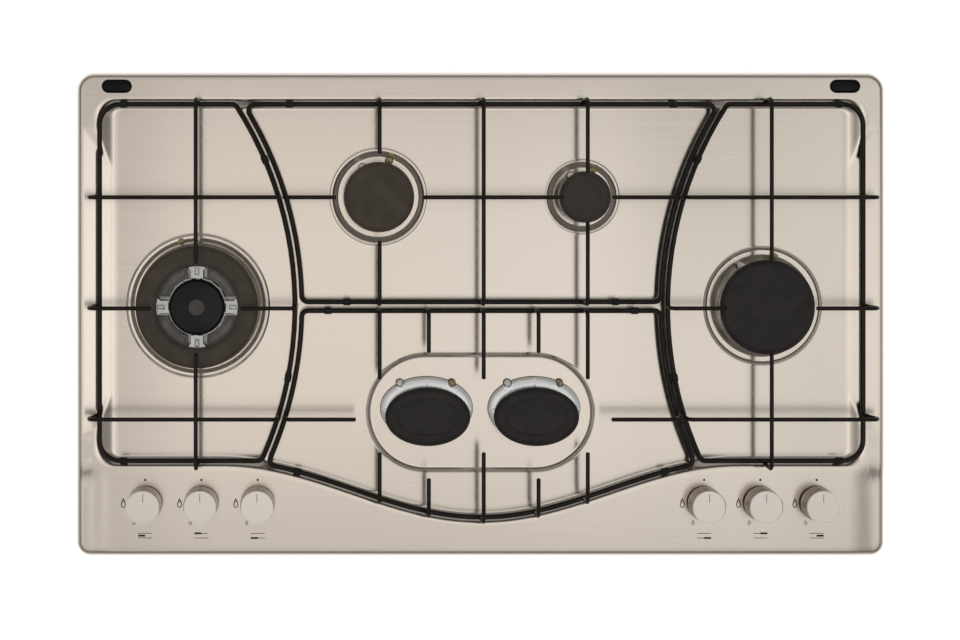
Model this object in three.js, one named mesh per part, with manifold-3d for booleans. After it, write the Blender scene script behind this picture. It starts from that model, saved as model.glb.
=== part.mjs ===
// Built-in gas cooktop with six burners, four wire grates and six push-and-turn knobs.
// Millimetres, +Z up, +Y to the back, +X to the right. Heights in this file are above the worktop.
import * as THREE from 'three';
import { mergeVertices } from 'three/addons/utils/BufferGeometryUtils.js';
import { ConvexGeometry } from 'three/addons/geometries/ConvexGeometry.js';
import Module from 'manifold-3d';

const wasm = await Module();
wasm.setup();

// ---- driving dimensions ----
const gap = 0.3; // between pieces that touch
const width = 870;
const depth = 520;
const cornerBack = 19;
const cornerFront = 14.5;
const underDepth = 46; // worktop surface down to the pan's underside
const sheet = 1; // pressed stainless sheet
const rimHeight = 10;
const rimRoll = 6.5; // plan width of the rolled outer edge
const rollStart = 3.5; // height where the outer edge begins to roll over
const hemWidth = 9; // edge folded in under the rim

const rimSide = 18.5; // rim beside the basin
const rimBack = 27.2;
const panelRun = 95.5; // control panel, from the front edge to the basin beside the bulge
const basinHalfWidth = width / 2 - rimSide;
const basinBack = depth / 2 - rimBack;
const basinFrontSide = panelRun - depth / 2;
const smileDepth = 61; // how far the basin dips forward in the middle
const smileHalfWidth = 280;
const basinFloor = 2;
const basinCorner = 22;
const wallRun = 24; // plan width of the side and back walls
const frontWallRun = 12;
const scoopEdge = 7; // rim left outside the side scoops that clear the grate ends
const scoopRun = 32; // plan width of a scoop
const scoopDrop = 7.4;
const scoopBackRun = 32.8; // from the basin's back edge
const scoopFrontRun = 37.5;
const scoopOut = width / 2 - scoopEdge;
const scoopIn = scoopOut - scoopRun;
const scoopBack = basinBack - scoopBackRun;
const scoopFront = basinFrontSide + scoopFrontRun;
const scoopTaper = 40;
const scoopEnd = 6; // how far the sloped ends run on beyond the outer edge's ends
const pillowRun = 24; // soft side shoulders of the control panel
const pillowDrop = 3;

const beadWidth = 5;
const beadHeight = 1.3;
const bowlDrop = 2.5;
const bowlSlope = 4;

const capTop = 28;
const capThickness = 7.7;
const capSpigot = 2.5;
const capRollUp = 4;
const capCrown = 0.8;
const capLead = 4.5;
const headWall = 3.5;
const headInset = 3.5; // burner head inside the cap's edge
const headFloor = 3;
const throatRadius = 7;
const portWidth = 1.8;
const portDepth = 4.5;
const cupInset = 2; // cup flange inside the cap's edge
const holeInset = 6; // panel hole inside the cap's edge
const cupFlange = 2.5;
const cupWall = 2;
const cupDepth = 22;
const bossRadius = 8;
const bossBottom = -33;
const pipeRadius = 3;
const pipeHeight = -27;

const ringHole = 43.5; // open middle of the wok burner's ring cap
const centreCapRadius = 30;
const centreDotRadius = 8.5;
const armWidth = 19;
const armSlotWidth = 4;
const armSlotLength = 7;

const fishCapLength = 91;
const fishCapWidth = 62.5;
const fishBodyLength = 99.5;
const fishBodyWidth = 68;
const fishBodyBack = 6.5; // oval body stands behind its cap
const fishBodyHeight = 6;
const fishX = 58;
const fishY = -108;
const fishBowlLength = 247;
const fishBowlWidth = 129;
const fishBowlY = -106;

const rodRadius = 2.7;
const frameHeight = 14; // centre of the grate frame rods
const fingerRadius = 2.2;
const grateTop = 42;
const fingerBend = 6;
const fingerTaper = 1.5;
const grateSideInset = 7; // frame rods inside the basin's upper edge
const grateBackInset = 6.8;
const grateFrontInset = 8;
const grateSideX = basinHalfWidth - grateSideInset;
const grateBackY = basinBack - grateBackInset;
const grateFrontY = basinFrontSide + grateFrontInset;
const grateCorner = 22;
const grateInnerCorner = 7;
const midRow = 9; // the wok and rapid burners' line
const sideArcRadius = 400; // the curved rods share one centre beyond each side
const sideGrateWidth = 209.5; // at the curve's narrowest
const grateSplit = 7.5; // between two grates' rod lines
const arcCentreX = grateSideX - sideGrateWidth + sideArcRadius;
const arcCentreY = midRow;
const centreArcRadius = sideArcRadius + grateSplit;
const centreHalfWidth = arcCentreX - centreArcRadius;
const backCentreFrontY = 14;
const frontCentreBackY = 4.5;
const smileInset = 8.5; // curved front rod inside the basin's edge
const footLength = 8;
const footPad = 2.4; // half the width of the face it stands on
const sideFootInset = 25.5; // feet, from the grate's outer rod
const innerFootBack = 59.3; // from the grate's back rod
const innerFootFront = 89;
const backFootOut = 13.5; // feet under the centre grates, from their narrowest half width
const midFootIn = 48.5;
const rearFootIn = 28;
const curveFootOut = 4.5;
const frontRow = -108.5; // the front bars' line
const rowTip = 135;
const longTipBack = -66; // ends of the bars round the oval burners
const longTipFront = -143;
const shortTipBack = -38;
const shortTipFront = -170.5;
const sideOverhang = 12.5;
const endOverhang = 7;
const innerOverhang = 3;

const knobRadius = 18.5;
const knobTop = 34.5;
const knobBottom = 14;
const knobEdge = 1.3;
const knobTaper = 0.6;
const pushTravel = 3.5;
const pointerWidth = 0.9;
const pointerLength = 12;
const pointerDepth = 0.4;
const knobFront = 57.5; // knob axes, from the front edge
const knobSide = 74; // outer knobs, from the side edge
const knobPitch = 60.5;
const knobY = knobFront - depth / 2;
const knobX = [
  ...[0, 1, 2].map((k) => knobSide - width / 2 + k * knobPitch),
  ...[2, 1, 0].map((k) => width / 2 - knobSide - k * knobPitch),
];
const spindleRadius = 3;
const spindleFlat = 1;
const spindleGrip = 12; // length inside the knob
const spindleHole = 5;
const coneTop = 6;
const coneBottom = 4.5;
const coneTopHeight = -6;
const coneBottomHeight = -31;
const tapWidth = 24;
const tapDepth = 26;
const tapTop = -3;
const tapBottom = -36;
const tapNeckRadius = 8;
const tapOutletRadius = 5.5;
const tapOutletLength = 6;
const railRadius = 7;
const railBore = 5;
const railHeight = -19;
const railElbow = 14;
const inletRadius = 10.5;
const inletBottom = -43.5;
const inletNut = 12;

const panSide = 39; // pan's walls, inside the rim's edge
const panEnd = 24;
const panHalfWidth = width / 2 - panSide;
const panHalfDepth = depth / 2 - panEnd;
const panCorner = 16;
const panLip = 16;
const panFold = 6; // radius folded round the pan's lower edge
const recessWidth = 62; // raised corner where the gas inlet comes out
const recessDepth = 58;
const recessRise = 18;
const railInset = 12; // rail's run along the pan's side wall
const railEndX = panHalfWidth - railInset;
const inletRun = 31; // inlet's axis, from the pan's back wall
const inletY = panHalfDepth - inletRun;
const ventCount = 4;
const ventLength = 42;
const ventWidth = 5;
const ventPitch = 14;
const sealWidth = 6;
const sealThickness = 1.7;
const plugLength = 32.5;
const plugWidth = 14.5;
const plugRise = 2.6;
const plugStem = 3;
const plugDrop = 4;
const plugSide = 43.5;
const plugBack = 14.5;
const plugX = width / 2 - plugSide;
const plugY = depth / 2 - plugBack;
const moduleLength = 70;
const moduleDepth = 40;
const moduleHeight = 27;
const moduleRun = 17.5; // behind the knobs' line
const moduleY = knobY + moduleRun;
const pinRadius = 2.6;
const pinTop = 17;
const pinTipRadius = 1.3;
const pinTipHeight = 2.5;
const pinShoulder = 4;
const pinBottom = -14;
const pinHole = pinRadius + gap + 0.05;

const sliver = 0.01; // slivers thinner than this are left out of a finished piece
const sidesRod = 6;
const sidesRing = 20; // caps
const sidesHead = 16;
const sidesBowl = 16;
const sidesHole = 12; // openings under the burners
const sidesCup = 10;
const sidesKnob = 16;
const sidesSmall = 6;
const clear = gap / Math.cos(Math.PI / sidesSmall); // gap between faces, added at a corner

// The round burners. Pins stand at polar places, r and degrees, round the burner's centre.
// A feed pipe leaves its tap straight back to the height run, and bends once more at via.
const sideBurner = grateSideX - 105;
const backBurner = 110;
const backRow = 126.5;
const burners = [
  {
    name: 'wok', x: -sideBurner, y: midRow, cap: 65.5, bowl: 78, ports: 12, tip: 47, tap: 0,
    spark: [72.2, 91], probe: [71.8, 104.7], run: -70, via: [],
  },
  {
    name: 'semi', x: -backBurner, y: backRow, cap: 37.5, bowl: 53.2, ports: 8, tip: 46, tap: 1,
    spark: [36.3, 118], probe: [40.8, 73.4], run: -140, via: [[-185, -10]],
  },
  {
    name: 'aux', x: backBurner, y: backRow, cap: 27.5, bowl: 40.8, ports: 8, tip: 26, tap: 4,
    spark: [26.3, 118], probe: [30.2, 68.9], run: -140, via: [[185, -10]],
  },
  {
    name: 'rapid', x: sideBurner, y: midRow, cap: 50.5, bowl: 64.2, ports: 10, tip: 48.5, tap: 5,
    spark: [49.3, 118], probe: [55, 77.1], run: -70, via: [],
  },
];
const fishPins = { spark: [-29, 34], probe: [27, 34] };
const fishPorts = 8;
const fishRun = -165;

// ---- materials ----
const finish = (color, roughness, metalness) => (
  new THREE.MeshStandardMaterial({ color, roughness, metalness })
);
const steel = finish('#c9bfb0', 0.32, 1);
const zincSteel = finish('#a9abac', 0.5, 1);
const blackEnamel = finish('#191716', 0.25, 0);
const capEnamel = finish('#3a3431', 0.45, 0);
const castAluminium = finish('#c2c3c4', 0.42, 1);
const brassMetal = finish('#b39a58', 0.35, 1);
const knobMetal = finish('#cfc7bd', 0.34, 1);
const ceramic = finish('#efebe3', 0.3, 0);
const blackPlastic = finish('#141313', 0.2, 0);
const foam = finish('#3b3b3b', 0.9, 0);

// ---- tools for making solids ----
const rad = THREE.MathUtils.degToRad;

function toSolid(geometry) {
  const bare = new THREE.BufferGeometry();
  bare.setAttribute('position', geometry.getAttribute('position').clone());
  if (geometry.index) bare.setIndex(geometry.index.clone());
  const merged = mergeVertices(bare, 1e-4);
  const corner = merged.index.array;
  const place = merged.getAttribute('position').array;
  const kept = [];
  let volume = 0;
  for (let i = 0; i < corner.length; i += 3) {
    const [a, b, c] = [corner[i], corner[i + 1], corner[i + 2]];
    if (a === b || b === c || c === a) continue;
    kept.push(a, b, c);
    const [p, q, r] = [a, b, c].map((k) => new THREE.Vector3().fromArray(place, 3 * k));
    volume += p.dot(q.cross(r));
  }
  if (volume < 0) kept.reverse();
  const triVerts = Uint32Array.from(kept);
  return new wasm.Manifold(new wasm.Mesh({ numProp: 3, vertProperties: place, triVerts }));
}

function toGeometry(solid) {
  const { vertProperties, triVerts, numProp } = solid.getMesh();
  const geometry = new THREE.BufferGeometry();
  const place = new Float32Array((vertProperties.length / numProp) * 3);
  for (let i = 0; i < place.length / 3; i += 1) {
    for (let k = 0; k < 3; k += 1) place[3 * i + k] = vertProperties[numProp * i + k];
  }
  geometry.setAttribute('position', new THREE.BufferAttribute(place, 3));
  geometry.setIndex(Array.from(triVerts));
  geometry.computeVertexNormals();
  return geometry;
}

function piece(name, solid, material) {
  const mesh = new THREE.Mesh(toGeometry(solid.simplify(sliver)), material);
  mesh.name = name;
  return mesh;
}

const joinAll = (solids) => solids.reduce((sum, next) => sum.add(next));
const cutAll = (solid, cuts) => cuts.reduce((rest, cut) => rest.subtract(cut), solid);

// A closed skin over rings that have the same number of points.
function skin(rings, closed = false) {
  const count = rings[0].length;
  const place = rings.flat().flatMap((p) => [p.x, p.y, p.z]);
  const corner = [];
  const spans = closed ? rings.length : rings.length - 1;
  for (let i = 0; i < spans; i += 1) {
    const next = (i + 1) % rings.length;
    for (let k = 0; k < count; k += 1) {
      const l = (k + 1) % count;
      const [a, b] = [i * count + k, i * count + l];
      const [c, d] = [next * count + l, next * count + k];
      corner.push(a, b, c, a, c, d);
    }
  }
  if (!closed) {
    const first = capFaces(rings[0]);
    const start = (rings.length - 1) * count;
    const last = capFaces(rings[rings.length - 1]);
    first.forEach(([a, b, c]) => corner.push(a, c, b));
    last.forEach(([a, b, c]) => corner.push(start + a, start + b, start + c));
  }
  const geometry = new THREE.BufferGeometry();
  geometry.setAttribute('position', new THREE.Float32BufferAttribute(place, 3));
  geometry.setIndex(corner);
  return toSolid(geometry);
}

// Triangles across a flat ring, turning the same way as the ring does.
function capFaces(ring) {
  const normal = new THREE.Vector3();
  ring.forEach((p, k) => normal.add(p.clone().cross(ring[(k + 1) % ring.length])));
  normal.normalize();
  const across = ring[1].clone().sub(ring[0]).projectOnPlane(normal).normalize();
  const up = normal.clone().cross(across);
  const flat = ring.map((p) => new THREE.Vector2(p.dot(across), p.dot(up)));
  return THREE.ShapeUtils.triangulateShape(flat, []).map(([a, b, c]) => {
    const turn = flat[b].clone().sub(flat[a]).cross(flat[c].clone().sub(flat[a]));
    return turn > 0 ? [a, b, c] : [a, c, b];
  });
}

// Flat outlines stacked at heights: levels are [outline, z].
const stack = (levels) => (
  skin(levels.map(([outline, z]) => outline.map((p) => new THREE.Vector3(p.x, p.y, z))))
);
const prism = (outline, low, high) => stack([[outline, low], [outline, high]]);

function revolve(profile, sides = sidesRing) {
  const points = profile.map(([r, z]) => new THREE.Vector2(r, z));
  return toSolid(new THREE.LatheGeometry(points, sides).rotateX(rad(90)));
}

function post(radius, low, high, x = 0, y = 0, sides = sidesSmall) {
  const geometry = new THREE.CylinderGeometry(radius, radius, high - low, sides);
  geometry.rotateX(rad(90)).translate(x, y, (low + high) / 2);
  return toSolid(geometry);
}

function block(x, y, z, middleX = 0, middleY = 0, middleZ = 0) {
  return toSolid(new THREE.BoxGeometry(x, y, z).translate(middleX, middleY, middleZ));
}

// A rod along points that lie in one plane, whose normal is side. Radii may differ by point.
function rod(points, side, radius, sides = sidesRod, closed = false) {
  const count = points.length;
  const radii = Array.isArray(radius) ? radius : points.map(() => radius);
  const rings = points.map((p, i) => {
    const before = points[closed ? (i + count - 1) % count : Math.max(i - 1, 0)];
    const after = points[closed ? (i + 1) % count : Math.min(i + 1, count - 1)];
    const into = p.clone().sub(before).normalize();
    const out = after.clone().sub(p).normalize();
    if (into.lengthSq() === 0) into.copy(out);
    if (out.lengthSq() === 0) out.copy(into);
    const along = into.clone().add(out).normalize();
    const across = side.clone().cross(along).normalize();
    const mitre = 1 / along.dot(into);
    return Array.from({ length: sides }, (_, k) => {
      const turn = (2 * Math.PI * (k + 0.5)) / sides;
      return p.clone()
        .addScaledVector(side, radii[i] * Math.cos(turn))
        .addScaledVector(across, radii[i] * mitre * Math.sin(turn));
    });
  });
  return skin(rings, closed);
}

// A closed outline through corners {x, y, r}, where r rounds the corner.
function rounded(corners, allSteps = 3) {
  return corners.flatMap(({ x, y, r, steps = allSteps }, i) => {
    const here = new THREE.Vector2(x, y);
    if (!r) return [here];
    const before = corners[(i + corners.length - 1) % corners.length];
    const after = corners[(i + 1) % corners.length];
    const back = new THREE.Vector2(before.x, before.y).sub(here).normalize();
    const on = new THREE.Vector2(after.x, after.y).sub(here).normalize();
    const half = Math.acos(back.dot(on)) / 2;
    const centre = back.clone().add(on).normalize().multiplyScalar(r / Math.sin(half)).add(here);
    const start = back.multiplyScalar(r / Math.tan(half)).add(here).sub(centre);
    const end = on.multiplyScalar(r / Math.tan(half)).add(here).sub(centre);
    const turn = Math.atan2(start.cross(end), start.dot(end));
    return Array.from({ length: steps + 1 }, (_, k) => (
      start.clone().rotateAround(new THREE.Vector2(), (turn * k) / steps).add(centre)
    ));
  });
}

const roundedBox = (halfX, halfY, r, steps) => rounded([
  { x: -halfX, y: -halfY, r },
  { x: halfX, y: -halfY, r },
  { x: halfX, y: halfY, r },
  { x: -halfX, y: halfY, r },
], steps);

const shifted = (outline, x, y) => outline.map((p) => new THREE.Vector2(p.x + x, p.y + y));
const ellipse = (halfX, halfY, sides = sidesHead) => Array.from({ length: sides }, (_, k) => {
  const turn = (2 * Math.PI * k) / sides;
  return new THREE.Vector2(halfX * Math.cos(turn), halfY * Math.sin(turn));
});
const polar = ([r, degrees]) => [r * Math.cos(rad(degrees)), r * Math.sin(rad(degrees))];

// ---- the pressed top ----
const panelOutline = (inset) => rounded([
  { x: inset - width / 2, y: inset - depth / 2, r: cornerFront - inset },
  { x: width / 2 - inset, y: inset - depth / 2, r: cornerFront - inset },
  { x: width / 2 - inset, y: depth / 2 - inset, r: cornerBack - inset },
  { x: inset - width / 2, y: depth / 2 - inset, r: cornerBack - inset },
]);

// The basin's front edge is a cosine bulge; inset moves it square to itself, into the basin.
function smilePoint(x, inset) {
  const turn = (Math.PI * x) / smileHalfWidth;
  const y = basinFrontSide - (smileDepth / 2) * (1 + Math.cos(turn));
  const slope = ((smileDepth / 2) * Math.PI * Math.sin(turn)) / smileHalfWidth;
  const normal = new THREE.Vector2(-slope, 1).normalize();
  return new THREE.Vector2(x, y).addScaledVector(normal, inset);
}

const smileSteps = 14;
function basinOutline(share) {
  const side = basinHalfWidth - share * wallRun;
  const back = basinBack - share * wallRun;
  const front = basinFrontSide + share * frontWallRun;
  const r = basinCorner * (1 - 0.75 * share);
  const smile = Array.from({ length: smileSteps + 1 }, (_, k) => {
    const x = smileHalfWidth * ((2 * k) / smileSteps - 1);
    return smilePoint(x, share * frontWallRun);
  });
  return rounded([
    { x: -side, y: front, r },
    ...smile,
    { x: side, y: front, r },
    { x: side, y: back, r },
    { x: -side, y: back, r },
  ]);
}

const ease = (share) => share * share * (3 - 2 * share);
const wallHeight = (share) => (
  rimHeight - (rimHeight - basinFloor) * ease(THREE.MathUtils.clamp(share, 0, 1))
);

function outerBody(drop) {
  const inset = drop;
  const rollSteps = 3;
  const levels = [[panelOutline(inset), drop ? sheet : 0]];
  for (let k = 0; k <= rollSteps; k += 1) {
    const turn = rad((90 * k) / rollSteps);
    const z = rollStart + (rimHeight - rollStart) * Math.sin(turn) - drop;
    levels.push([panelOutline(inset + rimRoll * (1 - Math.cos(turn))), z]);
  }
  return stack(levels);
}

function basinSpace(drop) {
  const shares = [1, 0.5, 0];
  const levels = shares.map((share) => [basinOutline(share), wallHeight(share) - drop]);
  levels.push([basinOutline(0), rimHeight + sheet]);
  return stack(levels);
}

// A ramp from the rim down to the basin on each side, with a sloped facet at either end.
function scoopSpace(drop) {
  const ramp = (sign) => {
    const at = (x, y, z) => new THREE.Vector3(sign * x, y, z - drop);
    const high = rimHeight + sheet + drop;
    const rim = [
      [scoopOut, scoopFront], [scoopOut, scoopBack],
      [scoopIn, scoopBack + scoopEnd], [scoopIn, scoopFront - scoopEnd],
    ];
    return toSolid(new ConvexGeometry([
      ...rim.flatMap(([x, y]) => [at(x, y, rimHeight), at(x, y, high)]),
      at(scoopIn, scoopFront + scoopTaper, rimHeight - scoopDrop),
      at(scoopIn, scoopBack - scoopTaper, rimHeight - scoopDrop),
    ]));
  };
  return ramp(1).add(ramp(-1));
}

// The shoulders of the control panel fall away towards the sides.
function pillowSpace(drop) {
  const wedge = (sign) => {
    const outer = (sign * width) / 2 + sign;
    const inner = sign * (width / 2 - pillowRun);
    const ends = [-depth / 2 - 1, basinFrontSide - beadWidth + drop];
    return skin(ends.map((y) => [
      new THREE.Vector3(inner, y, rimHeight - drop),
      new THREE.Vector3(outer, y, rimHeight - pillowDrop - drop),
      new THREE.Vector3(outer, y, rimHeight + sheet),
      new THREE.Vector3(inner, y, rimHeight + sheet),
    ]));
  };
  return wedge(1).add(wedge(-1));
}

const bowlLand = (burner) => burner.bowl - beadWidth;

function bowlBead(burner) {
  const outer = burner.bowl;
  const crest = outer - beadWidth / 2;
  const inner = bowlLand(burner);
  return revolve([
    [inner, basinFloor - sheet / 2],
    [outer, basinFloor - sheet / 2],
    [crest, basinFloor + beadHeight],
    [inner, basinFloor - sheet / 2],
  ], sidesBowl).translate([burner.x, burner.y, 0]);
}

function bowlSpace(burner, drop) {
  const outer = bowlLand(burner) + drop;
  const low = basinFloor - bowlDrop - drop;
  const above = basinFloor - drop;
  const high = rimHeight + sheet;
  return revolve([
    [0, low], [outer - bowlSlope, low], [outer, above], [outer, high], [0, high],
  ], sidesBowl).translate([burner.x, burner.y, 0]);
}

// The depth of metal below the basin that a bowl is dished out of; cover makes it wider and deeper.
function bowlStock(burner, cover) {
  const low = basinFloor - bowlDrop - 3 * sheet - cover;
  const radius = bowlLand(burner) + 3 * sheet + cover;
  return post(radius, low, basinFloor - 1.2 * sheet, burner.x, burner.y, sidesBowl);
}

const fishBowl = (inset) => shifted(
  roundedBox(fishBowlLength / 2 - inset, fishBowlWidth / 2 - inset, fishBowlWidth / 2 - inset, 6),
  0,
  fishBowlY,
);

function fishBead() {
  const ring = (inset, z) => fishBowl(inset).map((p) => new THREE.Vector3(p.x, p.y, z));
  return skin([
    ring(beadWidth, basinFloor - sheet / 2),
    ring(0, basinFloor - sheet / 2),
    ring(beadWidth / 2, basinFloor + beadHeight),
  ], true);
}

// Where the spark electrodes and flame probes come up, in the panel's own plan.
function pinPlaces() {
  const places = [];
  burners.forEach((burner) => {
    [burner.spark, burner.probe].forEach((at) => {
      const [x, y] = polar(at);
      places.push({ x: burner.x + x, y: burner.y + y, seat: basinFloor - bowlDrop, burner });
    });
  });
  [-1, 1].forEach((side) => {
    Object.values(fishPins).forEach(([x, y]) => {
      places.push({ x: side * fishX + x, y: fishY + y, seat: basinFloor });
    });
  });
  return places;
}

function topPanel() {
  const skinAt = (drop) => (
    cutAll(outerBody(drop), [basinSpace(drop), scoopSpace(drop), pillowSpace(drop)])
  );
  const dishOut = (body, cover, drop) => cutAll(
    joinAll([body, ...burners.map((burner) => bowlStock(burner, cover))]),
    burners.map((burner) => bowlSpace(burner, drop)),
  );
  const hem = prism(panelOutline(hemWidth), -sheet, sheet);
  const outside = dishOut(skinAt(0), 0, 0);
  const hollow = dishOut(skinAt(sheet).add(hem), sheet, sheet);
  const beads = [...burners.map(bowlBead), fishBead()];
  const pressed = joinAll([outside.subtract(hollow), ...beads]);
  const low = -underDepth / 4;
  const high = rimHeight + sheet;
  const holes = [
    ...burners.map((burner) => (
      post(burner.cap - holeInset, low, high, burner.x, burner.y, sidesHole)
    )),
    ...[-1, 1].map((side) => prism(shifted(
      ellipse(fishBodyLength / 2 - holeInset, fishBodyWidth / 2 - holeInset),
      side * fishX,
      fishY + fishBodyBack,
    ), low, high)),
    ...knobX.map((x) => post(spindleHole, low, high, x, knobY, sidesRod)),
    ...pinPlaces().map(({ x, y }) => post(pinHole, low, high, x, y, sidesRod)),
    ...[-1, 1].map((side) => prism(shifted(
      roundedBox(plugLength / 2 - plugStem, plugWidth / 2 - plugStem, plugWidth / 2 - plugStem, 2),
      side * plugX,
      plugY,
    ), low, high)),
  ];
  return cutAll(pressed, holes);
}

// ---- the pan under the worktop and the seal under the rim ----
const panOutline = (inset, r = panCorner) => (
  roundedBox(panHalfWidth - inset, panHalfDepth - inset, r - inset, 3)
);

function basePan() {
  const floor = -underDepth;
  const lip = basinFloor - sheet - gap;
  const shell = (wall) => stack([
    [panOutline(panFold + wall), floor + wall],
    [panOutline(wall), floor + panFold + wall],
    [panOutline(wall), wall ? lip - wall : lip],
  ]);
  const recess = (wall) => block(
    recessWidth + 2 * wall,
    recessDepth + 2 * wall,
    recessRise + wall + sheet,
    panHalfWidth - panFold - recessWidth / 2,
    panHalfDepth - panFold - recessDepth / 2,
    floor + (recessRise + wall - sheet) / 2,
  );
  const inside = shell(sheet).subtract(recess(sheet));
  const mouth = prism(panOutline(panLip), lip - 2 * sheet, lip + sheet);
  const vents = Array.from({ length: ventCount }, (_, k) => block(
    ventLength, ventWidth, 4 * sheet, 0, panHalfDepth / 2 + (k - ventCount / 2) * ventPitch, floor,
  ));
  const inletHole = post(inletRadius + gap, floor, railHeight, railEndX - railElbow, inletY, 12);
  return cutAll(shell(0), [recess(0), inside, mouth, inletHole, ...vents]);
}

function rimSeal() {
  const low = -gap - sealThickness;
  const ring = prism(panelOutline(sheet), low, -gap);
  return ring.subtract(prism(panelOutline(sheet + sealWidth), low - 1, 1));
}

function hingePlug() {
  const half = plugWidth / 2;
  const oval = (inset) => roundedBox(plugLength / 2 - inset, half - inset, half - inset, 2);
  const seat = rimHeight + gap;
  const head = stack([
    [oval(0), seat],
    [oval(0), seat + plugRise / 2],
    [oval(half / 3), seat + plugRise],
  ]);
  return head.add(prism(oval(plugStem + gap), rimHeight - sheet - plugDrop, seat + plugRise / 2));
}

// ---- burners ----
const capBottom = capTop - capThickness;
const headTop = capBottom - gap;

// A cup hangs in the panel by its flange, with the injector's boss and feed pipe below.
function cupProfile(flange, hole, seat) {
  const low = seat + gap;
  const wall = hole * Math.cos(Math.PI / sidesHole) - gap;
  const bottom = low - cupDepth;
  return [
    [0, bossBottom], [bossRadius, bossBottom], [bossRadius, bottom], [wall, bottom],
    [wall, low], [flange, low], [flange, low + cupFlange], [wall - cupWall, low + cupFlange],
    [wall - cupWall, bottom + cupWall], [0, bottom + cupWall],
  ];
}

// Feed pipe from the tap's outlet to the boss, laid level, in the burner's own plan.
function feedPipe(x, y, tapX, run, via = []) {
  const start = [tapX, knobY + tapDepth / 2 + tapOutletLength + gap];
  const route = [start, [tapX, run], ...via, [x, y]];
  const plan = route.map(([px, py]) => ({ x: px - x, y: py - y }));
  const points = plan.map((p) => new THREE.Vector3(p.x, p.y, pipeHeight));
  return rod(points, new THREE.Vector3(0, 0, 1), pipeRadius);
}

const pinClearance = (at) => {
  const [x, y] = at;
  return post(pinHole, pinBottom, headTop + 1, x, y, sidesRod);
};

function burnerPins(burner) {
  return [polar(burner.spark), polar(burner.probe)].map(pinClearance);
}

function portCuts(count, length, turn = 0) {
  return Array.from({ length: count / 2 }, (_, k) => (
    block(length, portWidth, portDepth, 0, 0, headTop - portDepth / 2 + 0.01)
      .rotate([0, 0, (360 * (k + 0.5)) / count + turn])
  ));
}

function roundHead(burner) {
  const outer = burner.cap - headInset;
  const inner = outer - headWall;
  const low = basinFloor - bowlDrop + 2 * gap + cupFlange;
  const body = revolve([
    [throatRadius, low],
    [outer - headWall / 2, low],
    [outer, low + headFloor],
    [outer, headTop],
    [inner, headTop],
    [inner, low + headFloor],
    [throatRadius, low + headFloor],
    [throatRadius, low],
  ], sidesHead);
  return cutAll(body, [...portCuts(burner.ports, 2 * outer + 2), ...burnerPins(burner)]);
}

// The wok burner's head: an outer gallery, a middle crown and four arms that feed it.
function wokHead(burner) {
  const outer = burner.cap - headInset;
  const low = basinFloor - bowlDrop + 2 * gap + cupFlange;
  const inner = ringHole + 1;
  const crown = centreCapRadius - headInset + 1;
  const body = revolve([
    [throatRadius, low],
    [outer, low],
    [outer, headTop],
    [outer - headWall, headTop],
    [outer - headWall, low + headFloor],
    [inner + headWall, low + headFloor],
    [inner + headWall, headTop],
    [inner, headTop],
    [inner, low + headFloor],
    [crown, low + headFloor],
    [crown, headTop],
    [crown - headWall, headTop],
    [crown - headWall, low + headFloor],
    [throatRadius, low + headFloor],
    [throatRadius, low],
  ], sidesHead);
  const armLength = inner - crown + 2;
  const armHeight = headTop - low - headFloor;
  const arms = [0, 90, 180, 270].map((turn) => {
    const middle = (inner + crown) / 2;
    const arm = block(armLength, armWidth, armHeight, middle, 0, headTop - armHeight / 2);
    const slot = block(
      armSlotLength, armSlotWidth, armHeight / 2, middle + 2, 0, headTop - armHeight / 4 + 0.01,
    );
    return arm.subtract(slot).rotate([0, 0, turn]);
  });
  const joined = body.add(joinAll(arms));
  const ports = portCuts(burner.ports, 2 * outer + 2, 0);
  const middleFill = post(inner + headWall + 1, headTop - portDepth - 1, headTop + 1, 0, 0, sidesHead);
  return cutAll(joined, [...ports.map((cut) => cut.subtract(middleFill)), ...burnerPins(burner)]);
}

const capProfile = (radius, spigot) => [
  [0, capBottom - capSpigot],
  [spigot, capBottom - capSpigot],
  [spigot, capBottom],
  [radius, capBottom],
  [radius, capBottom + capRollUp],
  [radius - capLead, capTop - capCrown],
  [0, capTop],
];

// The largest spigot that drops into a head whose inside has radius inner.
const spigotIn = (inner) => inner * Math.cos(Math.PI / sidesHead) - gap;

function roundCap(burner) {
  return revolve(capProfile(burner.cap, spigotIn(burner.cap - headInset - headWall)));
}

function wokRingCap(burner) {
  const outer = burner.cap;
  const spigot = spigotIn(outer - headInset - headWall);
  const spigotHole = ringHole + 1 + headWall + 2 * gap;
  return revolve([
    [ringHole, capBottom],
    [spigotHole, capBottom],
    [spigotHole, capBottom - capSpigot],
    [spigot, capBottom - capSpigot],
    [spigot, capBottom],
    [outer, capBottom],
    [outer, capBottom + capRollUp],
    [outer - capLead, capTop - 2 * capCrown],
    [ringHole + capLead, capTop - 2 * capCrown],
    [ringHole, capBottom],
  ]);
}

function wokCentreCap() {
  const spigot = spigotIn(centreCapRadius - headInset + 1 - headWall);
  return revolve([
    [0, capBottom - capSpigot],
    [spigot, capBottom - capSpigot],
    [spigot, capBottom],
    [centreCapRadius, capBottom],
    [centreCapRadius, capBottom + capRollUp],
    [centreDotRadius, capTop],
    [0, capTop],
  ]);
}

const fishPinList = Object.values(fishPins);

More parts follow.
